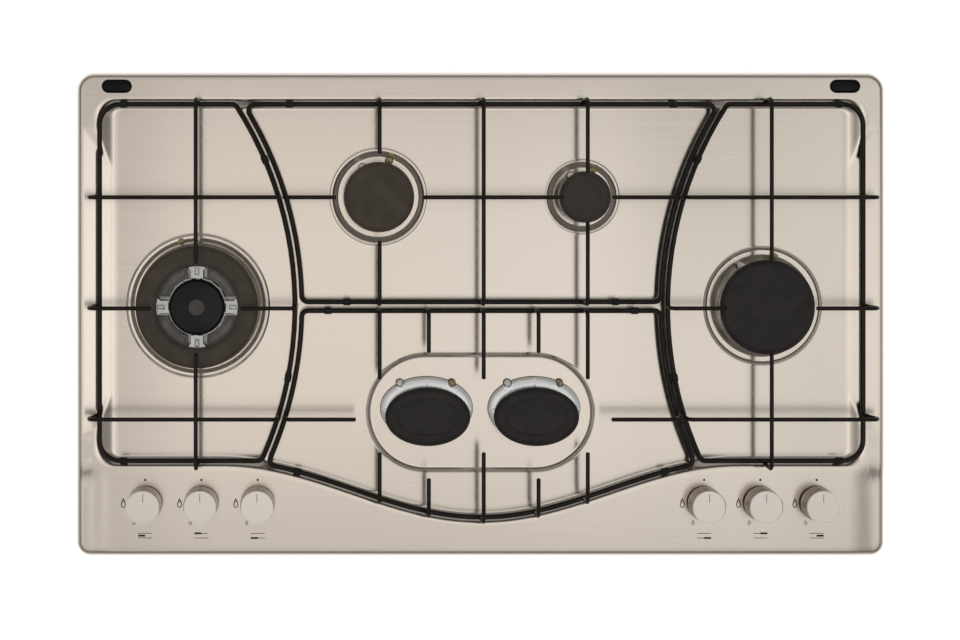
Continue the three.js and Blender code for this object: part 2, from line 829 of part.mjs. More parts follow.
function fishHead() {
  const seat = basinFloor + 2 * gap + cupFlange;
  const body = (inset) => shifted(
    ellipse(fishBodyLength / 2 - inset, fishBodyWidth / 2 - inset),
    0,
    fishBodyBack,
  );
  const crown = (inset) => ellipse(
    fishCapLength / 2 - headInset - inset,
    fishCapWidth / 2 - headInset - inset,
  );
  const plate = stack([
    [body(0), seat],
    [body(0), seat + fishBodyHeight / 2],
    [body(headFloor), seat + fishBodyHeight],
  ]);
  const wall = prism(crown(0), seat + headFloor, headTop);
  const chamber = prism(crown(headWall), seat + headFloor, headTop + 1);
  const throat = post(throatRadius, seat - 1, seat + fishBodyHeight + 1);
  return cutAll(plate.add(wall).subtract(chamber), [
    throat,
    ...portCuts(fishPorts, fishBodyLength + 2),
    ...fishPinList.map(pinClearance),
  ]);
}

function fishCap() {
  const oval = (inset, sides = sidesRing) => (
    ellipse(fishCapLength / 2 - inset, fishCapWidth / 2 - inset, sides)
  );
  const spigot = oval(headInset + headWall + 1.5 * gap, sidesHead);
  return stack([
    [oval(0), capBottom],
    [oval(0), capBottom + capRollUp],
    [oval(capLead), capTop - capCrown],
    [oval(3 * capLead), capTop],
  ]).add(prism(spigot, capBottom - capSpigot, capBottom + capRollUp));
}

function fishCup(side) {
  const low = basinFloor + gap;
  const oval = (inset) => shifted(
    ellipse(fishBodyLength / 2 - inset, fishBodyWidth / 2 - inset),
    0,
    fishBodyBack,
  );
  const bottom = low - cupDepth;
  const flange = prism(oval(cupInset), low, low + cupFlange);
  const bowl = prism(oval(holeInset + gap), bottom, low + cupFlange / 2);
  const inside = prism(oval(holeInset + gap + cupWall), bottom + cupWall, low + cupFlange + 1);
  const boss = post(bossRadius, bossBottom, bottom + cupWall / 2);
  const pipe = feedPipe(side * fishX, fishY, knobX[side < 0 ? 2 : 3], fishRun);
  return cutAll(flange.add(bowl).subtract(inside).add(boss).add(pipe), fishPinList.map(pinClearance));
}

function pin(seat) {
  const shoulder = seat - sheet - gap;
  return revolve([
    [0, pinBottom],
    [pinShoulder, pinBottom],
    [pinShoulder, shoulder],
    [pinRadius, shoulder],
    [pinRadius, pinTop - pinTipHeight],
    [pinTipRadius, pinTop],
    [0, pinTop],
  ], sidesRod);
}

function burnerGroup(burner) {
  const seat = basinFloor - bowlDrop;
  const group = new THREE.Group();
  group.position.set(burner.x, burner.y, 0);
  const cup = revolve(
    cupProfile(burner.cap - cupInset, burner.cap - holeInset, seat),
    sidesCup,
  ).add(feedPipe(burner.x, burner.y, knobX[burner.tap], burner.run, burner.via));
  const notched = cutAll(cup, burnerPins(burner));
  group.add(piece(`burner_cup_${burner.name}`, notched, castAluminium));
  const wok = burner.name === 'wok';
  const head = wok ? wokHead(burner) : roundHead(burner);
  group.add(piece(`burner_head_${burner.name}`, head, castAluminium));
  if (wok) {
    group.add(piece('cap_wok_ring', wokRingCap(burner), capEnamel));
    group.add(piece('cap_wok_centre', wokCentreCap(), capEnamel));
  } else {
    group.add(piece(`cap_${burner.name}`, roundCap(burner), capEnamel));
  }
  addPins(group, burner.name, [polar(burner.spark), polar(burner.probe)], seat);
  return group;
}

function addPins(group, name, places, seat) {
  ['spark_electrode', 'flame_probe'].forEach((kind, k) => {
    const mesh = piece(`${kind}_${name}`, pin(seat), k ? brassMetal : ceramic);
    mesh.position.set(places[k][0], places[k][1], 0);
    group.add(mesh);
  });
}

function fishGroup(side, name) {
  const group = new THREE.Group();
  group.position.set(side * fishX, fishY, 0);
  group.add(piece(`burner_cup_${name}`, fishCup(side), castAluminium));
  group.add(piece(`burner_head_${name}`, fishHead(), castAluminium));
  group.add(piece(`cap_${name}`, fishCap(), capEnamel));
  addPins(group, name, fishPinList, basinFloor);
  return group;
}

// ---- grates ----
const fingerHeight = grateTop - fingerRadius;
const footRadius = frameHeight - rimHeight - gap;
const arcX = (y, radius) => (
  Math.sqrt(radius * radius - (y - arcCentreY) ** 2) - arcCentreX
);

function arcPoints(radius, from, to, steps) {
  return Array.from({ length: steps - 1 }, (_, k) => {
    const y = from + ((to - from) * (k + 1)) / steps;
    return { x: arcX(y, radius), y, r: 0 };
  });
}

const vertical = new THREE.Vector3(0, 0, 1);
function frameRod(outline) {
  const points = outline.map((p) => new THREE.Vector3(p.x, p.y, frameHeight));
  return rod(points, vertical, rodRadius, sidesRod, true);
}

// A rubber foot: a collar along the rod that reaches down to what it stands on.
function foot(x, y, direction, surface) {
  const along = new THREE.Vector3(direction[0], direction[1], 0).normalize();
  const across = vertical.clone().cross(along);
  const middle = new THREE.Vector3(x, y, frameHeight);
  const flat = footRadius * Math.cos(Math.PI / 6);
  const low = Math.min(surface + gap - frameHeight, -flat);
  const section = [
    [footRadius / 2, flat], [-footRadius / 2, flat], [-footRadius, 0],
    [-footPad, low], [footPad, low], [footRadius, 0],
  ];
  return skin([-0.5, 0.5].map((share) => section.map(([out, up]) => (
    middle.clone()
      .addScaledVector(along, share * footLength)
      .addScaledVector(across, out)
      .addScaledVector(vertical, up)
  ))));
}

const onWall = (inset, run) => wallHeight((inset - footRadius) / run);

// One bar from a to b, [x, y]. An end is a tip, or a leg that reaches past the frame rod.
function finger(a, b, reachA, reachB) {
  const start = new THREE.Vector3(a[0], a[1], 0);
  const end = new THREE.Vector3(b[0], b[1], 0);
  const along = end.clone().sub(start).normalize();
  const side = vertical.clone().cross(along);
  const ending = (place, outward, reach) => {
    const at = (out, z) => place.clone().addScaledVector(outward, out).setZ(z);
    if (reach === null) {
      return {
        points: [at(0, fingerHeight), at(-fingerTaper, fingerHeight)],
        radii: [fingerRadius / 2, fingerRadius],
      };
    }
    const out = reach - fingerRadius;
    const weld = Math.min(out, rodRadius + fingerRadius / 2);
    return {
      points: [
        at(weld, frameHeight),
        at(out, fingerHeight - fingerBend),
        at(out - fingerBend, fingerHeight),
      ],
      radii: Array(3).fill(fingerRadius),
    };
  };
  const first = ending(start, along.clone().negate(), reachA);
  const last = ending(end, along, reachB);
  return rod(
    [...first.points, ...last.points.reverse()],
    side,
    [...first.radii, ...last.radii.reverse()],
  );
}

function sideGrate() {
  const burner = burners[0];
  const outline = rounded([
    { x: -grateSideX, y: grateFrontY, r: grateCorner },
    { x: arcX(grateFrontY, sideArcRadius), y: grateFrontY, r: grateInnerCorner, steps: 2 },
    ...arcPoints(sideArcRadius, grateFrontY, grateBackY, 6),
    { x: arcX(grateBackY, sideArcRadius), y: grateBackY, r: grateInnerCorner, steps: 2 },
    { x: -grateSideX, y: grateBackY, r: grateCorner },
  ], 3);
  const inner = (y) => [arcX(y, sideArcRadius), y];
  const outer = (y) => [-grateSideX, y];
  const rows = [backRow, frontRow].map((y) => finger(outer(y), inner(y), sideOverhang, innerOverhang));
  const tips = [
    finger(outer(midRow), [burner.x - burner.tip, midRow], sideOverhang, null),
    finger([burner.x + burner.tip, midRow], inner(midRow), null, innerOverhang),
    finger([burner.x, grateBackY], [burner.x, burner.y + burner.tip], endOverhang, null),
    finger([burner.x, burner.y - burner.tip], [burner.x, grateFrontY], null, endOverhang),
  ];
  const innerFoot = (y) => {
    const x = arcX(y, sideArcRadius);
    return foot(x, y, [y - arcCentreY, -x - arcCentreX], basinFloor);
  };
  const sideFootX = grateSideX - sideFootInset;
  const feet = [
    foot(-sideFootX, grateBackY, [1, 0], onWall(grateBackInset, wallRun)),
    foot(-sideFootX, grateFrontY, [1, 0], onWall(grateFrontInset, frontWallRun)),
    innerFoot(grateBackY - innerFootBack),
    innerFoot(grateFrontY + innerFootFront),
  ];
  return joinAll([frameRod(outline), ...rows, ...tips, ...feet]);
}

function backGrate() {
  const [, semi, aux] = burners;
  const left = arcPoints(centreArcRadius, grateBackY, backCentreFrontY, 5);
  const right = left.map(({ x, y, r }) => ({ x: -x, y, r })).reverse();
  const backX = arcX(grateBackY, centreArcRadius);
  const frontX = arcX(backCentreFrontY, centreArcRadius);
  const outline = rounded([
    { x: backX, y: grateBackY, r: grateInnerCorner, steps: 2 },
    ...left,
    { x: frontX, y: backCentreFrontY, r: grateInnerCorner, steps: 2 },
    { x: -frontX, y: backCentreFrontY, r: grateInnerCorner, steps: 2 },
    ...right,
    { x: -backX, y: grateBackY, r: grateInnerCorner, steps: 2 },
  ], 3);
  const frameX = arcX(backRow, centreArcRadius);
  const fingers = [
    finger([0, grateBackY], [0, backCentreFrontY], endOverhang, innerOverhang),
    ...[semi, aux].flatMap(({ x, y, tip }) => [
      finger([x, grateBackY], [x, y + tip], endOverhang, null),
      finger([x, y - tip], [x, backCentreFrontY], null, innerOverhang),
    ]),
    finger([frameX, backRow], [semi.x - semi.tip, backRow], innerOverhang, null),
    finger([semi.x + semi.tip, backRow], [aux.x - aux.tip, backRow], null, null),
    finger([aux.x + aux.tip, backRow], [-frameX, backRow], null, innerOverhang),
  ];
  const [backFootX, midFootX] = [centreHalfWidth + backFootOut, centreHalfWidth - midFootIn];
  const feet = [-1, 1].flatMap((side) => [
    foot(side * backFootX, grateBackY, [1, 0], onWall(grateBackInset, wallRun)),
    foot(side * midFootX, backCentreFrontY, [1, 0], basinFloor),
  ]);
  return joinAll([frameRod(outline), ...fingers, ...feet]);
}

function frontGrate() {
  let cornerX = arcX(grateFrontY, centreArcRadius);
  let cornerY = grateFrontY;
  for (let k = 0; k < 4; k += 1) {
    cornerY = smilePoint(cornerX, smileInset).y;
    cornerX = arcX(cornerY, centreArcRadius);
  }
  const backX = arcX(frontCentreBackY, centreArcRadius);
  const left = arcPoints(centreArcRadius, frontCentreBackY, cornerY, 4);
  const right = left.map(({ x, y, r }) => ({ x: -x, y, r })).reverse();
  const curveSteps = 10;
  const curve = Array.from({ length: curveSteps - 1 }, (_, k) => {
    const at = smilePoint(cornerX * (1 - (2 * (k + 1)) / curveSteps), smileInset);
    return { x: at.x, y: at.y, r: 0 };
  });
  const outline = rounded([
    { x: backX, y: frontCentreBackY, r: grateInnerCorner, steps: 2 },
    ...left,
    { x: cornerX, y: cornerY, r: grateInnerCorner, steps: 2 },
    ...curve,
    { x: -cornerX, y: cornerY, r: grateInnerCorner, steps: 2 },
    ...right,
    { x: -backX, y: frontCentreBackY, r: grateInnerCorner, steps: 2 },
  ], 3);
  const curveY = (x) => smilePoint(x, smileInset).y;
  const columns = [
    { x: 0, back: longTipBack, front: longTipFront },
    ...[-1, 1].map((side) => ({ x: side * backBurner, back: longTipBack, front: longTipFront })),
    ...[-1, 1].map((side) => ({ x: side * fishX, back: shortTipBack, front: shortTipFront })),
  ];
  const frameX = arcX(frontRow, centreArcRadius);
  const fingers = [
    ...columns.flatMap(({ x, back, front }) => [
      finger([x, frontCentreBackY], [x, back], innerOverhang, null),
      finger([x, front], [x, curveY(x)], null, innerOverhang),
    ]),
    finger([frameX, frontRow], [-rowTip, frontRow], innerOverhang, null),
    finger([rowTip, frontRow], [-frameX, frontRow], null, innerOverhang),
  ];
  const [rearFootX, curveFootX] = [centreHalfWidth - rearFootIn, centreHalfWidth + curveFootOut];
  const slope = smilePoint(curveFootX + 1, smileInset).sub(smilePoint(curveFootX, smileInset));
  const feet = [-1, 1].flatMap((side) => [
    foot(side * rearFootX, frontCentreBackY, [1, 0], basinFloor),
    foot(
      side * curveFootX,
      curveY(curveFootX),
      [slope.x, side * slope.y],
      onWall(smileInset, frontWallRun),
    ),
  ]);
  return joinAll([frameRod(outline), ...fingers, ...feet]);
}

// ---- controls and gas ----
function knob() {
  const bore = spindleRadius + clear;
  const roof = knobBottom + spindleGrip + pushTravel / 2;
  const body = revolve([
    [0, knobBottom],
    [knobRadius, knobBottom],
    [knobRadius - knobTaper, knobTop - knobEdge],
    [knobRadius - knobTaper - knobEdge, knobTop],
    [0, knobTop],
  ], sidesKnob);
  const pointer = block(
    pointerWidth, pointerLength, 2 * pointerDepth, 0, knobRadius - pointerLength / 2 - knobEdge, knobTop,
  );
  const well = revolve([
    [0, knobBottom - 1], [bore, knobBottom - 1], [bore, roof], [0, roof],
  ], sidesSmall);
  const key = block(
    2 * bore, spindleFlat, spindleGrip, 0, spindleRadius - spindleFlat / 2 + gap, knobBottom + spindleGrip / 2,
  );
  return cutAll(body, [pointer, well]).add(key);
}

// The spindle and the tap's cone turn together; its flat faces the key inside the knob.
function spindle() {
  const top = knobBottom + spindleGrip - pushTravel - gap;
  const flatBottom = knobBottom - pushTravel - 2 * gap;
  const body = revolve([
    [0, coneBottomHeight],
    [coneBottom, coneBottomHeight],
    [coneTop, coneTopHeight],
    [spindleRadius, coneTopHeight],
    [spindleRadius, top],
    [0, top],
  ], sidesSmall);
  const flat = block(
    3 * spindleRadius, 2 * spindleFlat, top + 1 - flatBottom, 0, spindleRadius, (top + 1 + flatBottom) / 2,
  );
  return body.subtract(flat);
}

function tapBody() {
  const height = tapTop - tapBottom;
  const body = block(tapWidth, tapDepth, height, 0, 0, (tapTop + tapBottom) / 2);
  const neckTop = rimHeight - sheet - gap;
  const neck = post(tapNeckRadius, tapTop - 1, neckTop);
  const outlet = post(tapOutletRadius, 0, tapOutletLength + 1, 0, 0, sidesRod)
    .rotate([-90, 0, 0])
    .translate([0, tapDepth / 2 - 1, pipeHeight]);
  const turning = (radius) => (radius + gap) / Math.cos(Math.PI / sidesSmall);
  const bore = revolve([
    [0, coneBottomHeight - gap],
    [turning(coneBottom), coneBottomHeight - gap],
    [turning(coneTop), coneTopHeight + gap],
    [turning(spindleRadius), coneTopHeight + gap],
    [turning(spindleRadius), neckTop + 1],
    [0, neckTop + 1],
  ], sidesSmall);
  const railLine = [-tapWidth, tapWidth].map((x) => new THREE.Vector3(x, railY - knobY, railHeight));
  const saddle = rod(railLine, vertical, railRadius + clear, sidesSmall);
  return cutAll(body.add(neck).add(outlet), [bore, saddle]);
}

const railY = knobY - tapDepth / 2 - railRadius + 3;
function gasRail() {
  const inletX = railEndX - railElbow;
  const plan = [[-railEndX, railY], [railEndX, railY], [railEndX, inletY], [inletX, inletY]];
  const corners = plan.map(([x, y]) => ({ x, y, r: 0 }));
  const points = (radius) => corners.map(({ x, y }) => new THREE.Vector3(x, y, railHeight));
  const tube = rod(points(railRadius), vertical, railRadius, sidesSmall);
  const nut = post(inletRadius, inletBottom, inletBottom + inletNut, inletX, inletY, sidesRod);
  const drop = post(railRadius, inletBottom, railHeight + railRadius, inletX, inletY);
  const mouth = post(railBore, inletBottom - 1, railHeight, inletX, inletY);
  return joinAll([tube, drop, nut]).subtract(mouth);
}

function ignitionModule() {
  const floor = sheet + gap - underDepth;
  const body = block(moduleLength, moduleDepth, moduleHeight, 0, moduleY, floor + moduleHeight / 2);
  const ear = block(moduleLength + 16, 12, 3, 0, moduleY, floor + 1.5);
  return body.add(ear);
}

// ---- the whole cooktop, stood on its pan ----
const cooktop = new THREE.Group();
cooktop.position.z = underDepth;
cooktop.add(piece('top_panel', topPanel(), steel));
cooktop.add(piece('base_pan', basePan(), zincSteel));
cooktop.add(piece('rim_seal', rimSeal(), foam));
cooktop.add(piece('gas_rail', gasRail(), zincSteel));
cooktop.add(piece('ignition_module', ignitionModule(), blackPlastic));

[['left', -1], ['right', 1]].forEach(([name, side]) => {
  const plug = piece(`hinge_plug_${name}`, hingePlug(), blackPlastic);
  plug.position.set(side * plugX, plugY, 0);
  cooktop.add(plug);
});

burners.forEach((burner) => cooktop.add(burnerGroup(burner)));
cooktop.add(fishGroup(-1, 'fish_left'));
cooktop.add(fishGroup(1, 'fish_right'));

const leftGrate = sideGrate();
cooktop.add(piece('grate_left', leftGrate, blackEnamel));
cooktop.add(piece('grate_right', leftGrate.mirror([1, 0, 0]), blackEnamel));
cooktop.add(piece('grate_back', backGrate(), blackEnamel));
cooktop.add(piece('grate_front', frontGrate(), blackEnamel));

const controls = ['wok', 'semi', 'fish_left', 'fish_right', 'aux', 'rapid'];
knobX.forEach((x, k) => {
  const control = new THREE.Group();
  control.position.set(x, knobY, 0);
  control.add(piece(`knob_${controls[k]}`, knob(), knobMetal));
  control.add(piece(`spindle_${controls[k]}`, spindle(), brassMetal));
  control.add(piece(`tap_${controls[k]}`, tapBody(), castAluminium));
  cooktop.add(control);
});

const root = new THREE.Group();
root.add(cooktop);
export default root;
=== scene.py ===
# Gas cooktop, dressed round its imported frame. The frame is in metres; the sizes below are
# millimetres, and their heights are over the worktop, which lies 46 mm above the floor.
import math
import bmesh
import bpy
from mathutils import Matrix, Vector


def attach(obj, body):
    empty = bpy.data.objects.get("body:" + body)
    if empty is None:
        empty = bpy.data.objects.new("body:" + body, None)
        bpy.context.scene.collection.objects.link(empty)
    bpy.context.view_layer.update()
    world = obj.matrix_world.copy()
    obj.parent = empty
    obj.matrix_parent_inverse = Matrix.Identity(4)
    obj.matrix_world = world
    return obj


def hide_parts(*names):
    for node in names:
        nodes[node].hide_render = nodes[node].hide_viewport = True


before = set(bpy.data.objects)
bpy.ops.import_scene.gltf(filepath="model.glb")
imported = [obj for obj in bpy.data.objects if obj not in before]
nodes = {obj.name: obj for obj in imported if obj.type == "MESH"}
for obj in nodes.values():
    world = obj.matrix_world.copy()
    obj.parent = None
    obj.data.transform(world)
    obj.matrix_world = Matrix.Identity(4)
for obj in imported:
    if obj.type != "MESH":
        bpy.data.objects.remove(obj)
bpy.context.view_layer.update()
worktop = 46.0


# Modelling helpers
def spot(place):  # millimetres over the worktop to metres in the frame
    return Vector((place[0], place[1], place[2] + worktop)) * 0.001


def onlySelect(piece):
    bpy.ops.object.select_all(action="DESELECT")
    piece.select_set(True)
    bpy.context.view_layer.objects.active = piece


def ease(share):
    share = min(max(share, 0.0), 1.0)
    return share * share * (3 - 2 * share)


def ring(radiusX, radiusY, z, x=0.0, y=0.0, sides=96):
    turns = [2 * math.pi * k / sides for k in range(sides)]
    return [(x + radiusX * math.cos(t), y + radiusY * math.sin(t), z) for t in turns]


def roundPath(corners, steps=6, closed=True):  # corners are (x, y, z, radius)
    path = []
    last = len(corners) - 1
    for number, (x, y, z, radius) in enumerate(corners):
        here = Vector((x, y, z))
        if radius == 0 or (not closed and number in (0, last)):
            path.append(here)
            continue
        back = (Vector(corners[number - 1][:3]) - here).normalized()
        onward = (Vector(corners[(number + 1) % (last + 1)][:3]) - here).normalized()
        half = back.angle(onward) / 2
        centre = here + (back + onward).normalized() * (radius / math.sin(half))
        start = (here + back * (radius / math.tan(half)) - centre).normalized()
        end = (here + onward * (radius / math.tan(half)) - centre).normalized()
        path += [centre + start.slerp(end, k / steps) * radius for k in range(steps + 1)]
    return path


def loft(name, rings, openEnds=False):  # a circle's edge, extruded from ring to ring
    bpy.ops.object.select_all(action="DESELECT")
    bpy.ops.mesh.primitive_circle_add(vertices=len(rings[0]), radius=0.01, location=(0, 0, 0))
    piece = bpy.context.object
    piece.name = piece.data.name = name
    bpy.ops.object.mode_set(mode="EDIT")
    bpy.ops.mesh.select_all(action="SELECT")
    work = bmesh.from_edit_mesh(piece.data)
    turnLayer = work.verts.layers.int.new("turn")
    for number, vertex in enumerate(work.verts):
        vertex[turnLayer] = number
    for step, places in enumerate(rings):
        if step:
            bpy.ops.mesh.extrude_edges_move()
            work = bmesh.from_edit_mesh(piece.data)
            turnLayer = work.verts.layers.int["turn"]
        for vertex in work.verts:
            if vertex.select:
                vertex.co = spot(places[vertex[turnLayer]])
    bmesh.update_edit_mesh(piece.data)
    bpy.ops.mesh.select_all(action="SELECT")
    bpy.ops.mesh.remove_doubles(threshold=1e-6)
    if not openEnds:
        bpy.ops.mesh.fill_holes(sides=0)
    bpy.ops.mesh.normals_make_consistent(inside=False)
    bpy.ops.object.mode_set(mode="OBJECT")
    piece.data.attributes.remove(piece.data.attributes["turn"])
    return piece


def turned(name, profile, x=0.0, y=0.0, sides=96):  # profile is (radius, z) from one end
    return loft(name, [ring(r, r, z, x, y, sides) for r, z in profile])


def soften(profile, steps=4):  # profile corners are (radius, z, fillet)
    corners = [(r, 0.0, z, fillet) for r, z, fillet in profile]
    return [(p.x, p.z) for p in roundPath(corners, steps, closed=False)]


def prism(name, outline, low, high):
    return loft(name, [[(p[0], p[1], z) for p in outline] for z in (low, high)])


def peg(name, radius, low, high, x, y, sides=32):
    return turned(name, [(0, low), (radius, low), (radius, high), (0, high)], x, y, sides)


def rectangle(x, y, halfX, halfY):
    return [(x - halfX, y - halfY), (x + halfX, y - halfY), (x + halfX, y + halfY), (x - halfX, y + halfY)]


def roundRectangle(x, y, halfX, halfY, radius, steps):
    return roundPath([(*corner, 0, radius) for corner in rectangle(x, y, halfX, halfY)], steps)


def stadium(x, y, length, width, inset, steps, along=1):  # along is the number of steps on each side
    radius, reach = width / 2 - inset, (length - width) / 2
    points = []
    for end in (1, -1):
        turns = [math.radians(180 * k / steps - 90 * end) for k in range(steps + 1)]
        points += [(x + end * reach + radius * math.cos(t), y + radius * math.sin(t)) for t in turns]
        points += [(x + end * reach * (1 - 2 * k / along), y + end * radius) for k in range(1, along)]
    return points


def merged(name, pieces):
    onlySelect(pieces[0])
    for piece in pieces:
        piece.select_set(True)
    bpy.ops.object.join()
    pieces[0].name = pieces[0].data.name = name
    return pieces[0]


def editAll(piece, *steps):  # runs the steps in edit mode with everything selected
    onlySelect(piece)
    bpy.ops.object.mode_set(mode="EDIT")
    bpy.ops.mesh.select_all(action="SELECT")
    for step in steps:
        step()
    bpy.ops.object.mode_set(mode="OBJECT")


def applyModifier(piece, kind, **settings):
    modifier = piece.modifiers.new("shape", kind)
    for name, value in settings.items():
        setattr(modifier, name, value)
    onlySelect(piece)
    bpy.ops.object.modifier_apply(modifier=modifier.name)


def carve(piece, cutter):
    applyModifier(piece, "BOOLEAN", operation="DIFFERENCE", solver="EXACT", material_mode="TRANSFER",
                  object=cutter)
    bpy.data.objects.remove(cutter)


def wires(name, runs, radius, sides=12):  # runs are (path, closed, share of the radius at each point)
    curve = bpy.data.curves.new(name, "CURVE")
    curve.dimensions = "3D"
    curve.bevel_depth = radius * 0.001
    curve.bevel_resolution = sides // 2 - 2
    curve.use_fill_caps = True
    for path, closed, shares in runs:
        spline = curve.splines.new("POLY")
        spline.points.add(len(path) - 1)
        spline.use_cyclic_u = closed
        for point, place, share in zip(spline.points, path, shares or [1.0] * len(path)):
            point.co = (*spot(place), 1.0)
            point.radius = share
    piece = bpy.data.objects.new(name, curve)
    bpy.context.collection.objects.link(piece)
    onlySelect(piece)
    bpy.ops.object.convert(target="MESH")
    return bpy.context.object


def dress(piece, material, body, replaced=(), angle=35):
    if material:
        piece.data.materials.clear()
        piece.data.materials.append(material)
    onlySelect(piece)
    bpy.ops.object.shade_smooth_by_angle(angle=math.radians(angle))
    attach(piece, body)
    if replaced:
        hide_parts(*replaced)
    return piece


# Finishes
def colour(text):  # sRGB hex to a linear colour
    values = [int(text[k:k + 2], 16) / 255 for k in (1, 3, 5)]
    return tuple(v / 12.92 if v <= 0.04045 else ((v + 0.055) / 1.055) ** 2.4 for v in values) + (1.0,)


def addNode(tree, kind, inputs=None, **settings):
    node = tree.nodes.new(kind)
    for name, value in settings.items():
        setattr(node, name, value)
    for name, value in (inputs or {}).items():
        if isinstance(value, bpy.types.NodeSocket):
            tree.links.new(value, node.inputs[name])
        else:
            node.inputs[name].default_value = value
    return node


def newMaterial(name, **sockets):
    material = bpy.data.materials.new(name)
    material.use_nodes = True
    tree = material.node_tree
    tree.nodes.clear()
    shader = addNode(tree, "ShaderNodeBsdfPrincipled", sockets)
    addNode(tree, "ShaderNodeOutputMaterial", {"Surface": shader.outputs[0]})
    place = addNode(tree, "ShaderNodeTexCoord").outputs["Object"]
    return material, tree, shader, place


def grain(tree, place, size, stretch=(1, 1, 1), detail=3.0):  # size is one grain in millimetres
    turn = addNode(tree, "ShaderNodeMapping", {"Vector": place, "Scale": stretch})
    return addNode(
        tree, "ShaderNodeTexNoise",
        {"Vector": turn.outputs[0], "Scale": 1000 / size, "Detail": detail},
    ).outputs[0]


def cloudyGrain(tree, place, size, cloud, detail):  # fine grain, and the same with wide clouds added
    fine = grain(tree, place, size, detail=2.0)
    wide = grain(tree, place, cloud, detail=detail)
    return fine, addNode(tree, "ShaderNodeMath", {0: fine, 1: wide}, operation="ADD").outputs[0]


def addSkin(tree, shader, tones, pattern, relief, rough=None, reach=(0.3, 0.7)):
    # The pattern picks a tone between dark and light over its reach. The relief is a height, its
    # depth in millimetres and its strength, and rough is a pattern, its limits and its reach.
    shares = []
    for value, low, high, *limits in [(pattern, 0.0, 1.0, *reach)] + ([rough] if rough else []):
        start, stop = limits or (0.3, 0.7)
        shares.append(addNode(tree, "ShaderNodeMapRange", {
            "Value": value, "From Min": start, "From Max": stop, "To Min": low, "To Max": high,
        }).outputs[0])
    dark, light = (colour(tone) for tone in tones)
    mix = addNode(tree, "ShaderNodeMix", {0: shares[0], 6: dark, 7: light}, data_type="RGBA")
    tree.links.new(mix.outputs[2], shader.inputs["Base Color"])
    if rough:
        tree.links.new(shares[1], shader.inputs["Roughness"])
    height, depth, strength = relief
    bump = addNode(tree, "ShaderNodeBump", {
        "Height": height, "Distance": depth * 0.001, "Strength": strength,
    })
    tree.links.new(bump.outputs[0], shader.inputs["Normal"])


def brushAlongX(tree, shader):
    along = addNode(tree, "ShaderNodeCombineXYZ", {"Y": 1.0})
    tree.links.new(along.outputs[0], shader.inputs["Tangent"])


def brushedStainless():
    # Stainless sheet brushed along X: fine parallel scratches that smear reflections along Y.
    # Real scratches are about 0.05 mm apart, too fine to show, so these are drawn 1.1 mm apart.
    look = {"tones": ("#d5cabd", "#dbd0c4"), "scratch": 1.1, "length": 150, "rough": (0.19, 0.24)}
    material, tree, shader, place = newMaterial("brushed stainless", Metallic=1.0, Anisotropic=0.8)
    scratch = grain(tree, place, look["scratch"], (look["scratch"] / look["length"], 1, 1))
    addSkin(tree, shader, look["tones"], scratch, (scratch, 0.01, 0.09), (scratch, *look["rough"]))
    brushAlongX(tree, shader)
    return material


def glossEnamel():
    # Vitreous enamel fired on steel wire: near-black glass with a slightly wavy surface.
    material, tree, shader, place = newMaterial(
        "gloss black enamel", **{"Roughness": 0.14, "Specular IOR Level": 0.17},
    )
    wave = grain(tree, place, 3.5, detail=2.0)
    addSkin(tree, shader, ("#19140f", "#271f18"), grain(tree, place, 14.0), (wave, 0.12, 0.5))
    return material


def satinEnamel(name, dark, light, rough=0.42):
    # Matt vitreous enamel on a cast cap: an even satin with fine lighter specks and a pebbled skin.
    material, tree, shader, place = newMaterial(name, **{"Specular IOR Level": 0.2})
    speck, both = cloudyGrain(tree, place, 0.9, 18.0, 2.0)
    addSkin(tree, shader, (dark, light), both, (speck, 0.05, 0.6),
            (speck, rough - 0.05, rough + 0.06), (0.8, 1.35))
    return material


def castAluminium(name, dark, light, rough, metal):
    # Die-cast aluminium, lightly blasted: pale grey with a sandy grit of about half a millimetre.
    material, tree, shader, place = newMaterial(name, Metallic=metal)
    grit, both = cloudyGrain(tree, place, 0.7, 12.0, 3.0)
    addSkin(tree, shader, (dark, light), both, (grit, 0.06, 0.6), (grit, *rough), (0.75, 1.3))
    return material


def turnedBrass():
    # Free-cutting brass, turned: fine rings and a slightly tarnished yellow.
    material, tree, shader, place = newMaterial("turned brass", Metallic=1.0)
    rings = grain(tree, place, 0.5, (0.05, 0.05, 1), 2.0)
    tarnish = grain(tree, place, 2.5, detail=2.0)
    addSkin(tree, shader, ("#b3a06c", "#dccd9c"), tarnish, (rings, 0.03, 0.4), (rings, 0.26, 0.38))
    return material


def glazedCeramic():
    # Glazed alumina: off-white with a soft gloss and faint orange peel.
    material, tree, shader, place = newMaterial("glazed ceramic", **{
        "Roughness": 0.22, "Coat Weight": 0.5, "Coat Roughness": 0.08,
    })
    peel = grain(tree, place, 1.2)
    addSkin(tree, shader, ("#efece5", "#faf8f4"), grain(tree, place, 2.0), (peel, 0.04, 0.4))
    return material


def satinKnobMetal(name, dark, light):
    # Knob shell of satin silver metal: a faint brushing along X on top and a warm grey tone.
    material, tree, shader, place = newMaterial(name, Metallic=1.0, Anisotropic=0.3)
    brush = grain(tree, place, 0.6, (0.06, 1, 1), 2.0)
    addSkin(tree, shader, (dark, light), brush, (brush, 0.01, 0.06), (brush, 0.28, 0.38))
    brushAlongX(tree, shader)
    return material


def galvanised():
    # Hot-dip galvanised sheet: dull zinc with spangles about 9 mm across.
    material, tree, shader, place = newMaterial("galvanised sheet", Metallic=1.0)
    spangle = addNode(tree, "ShaderNodeTexVoronoi", {"Vector": place, "Scale": 1000 / 9}).outputs["Color"]
    tone = addNode(tree, "ShaderNodeRGBToBW", {0: spangle}).outputs[0]
    addSkin(tree, shader, ("#9c9fa0", "#b9bcbd"), tone, (grain(tree, place, 1.5), 0.03, 0.4),
            (tone, 0.42, 0.58, 0.1, 0.9), (0.1, 0.9))
    return material


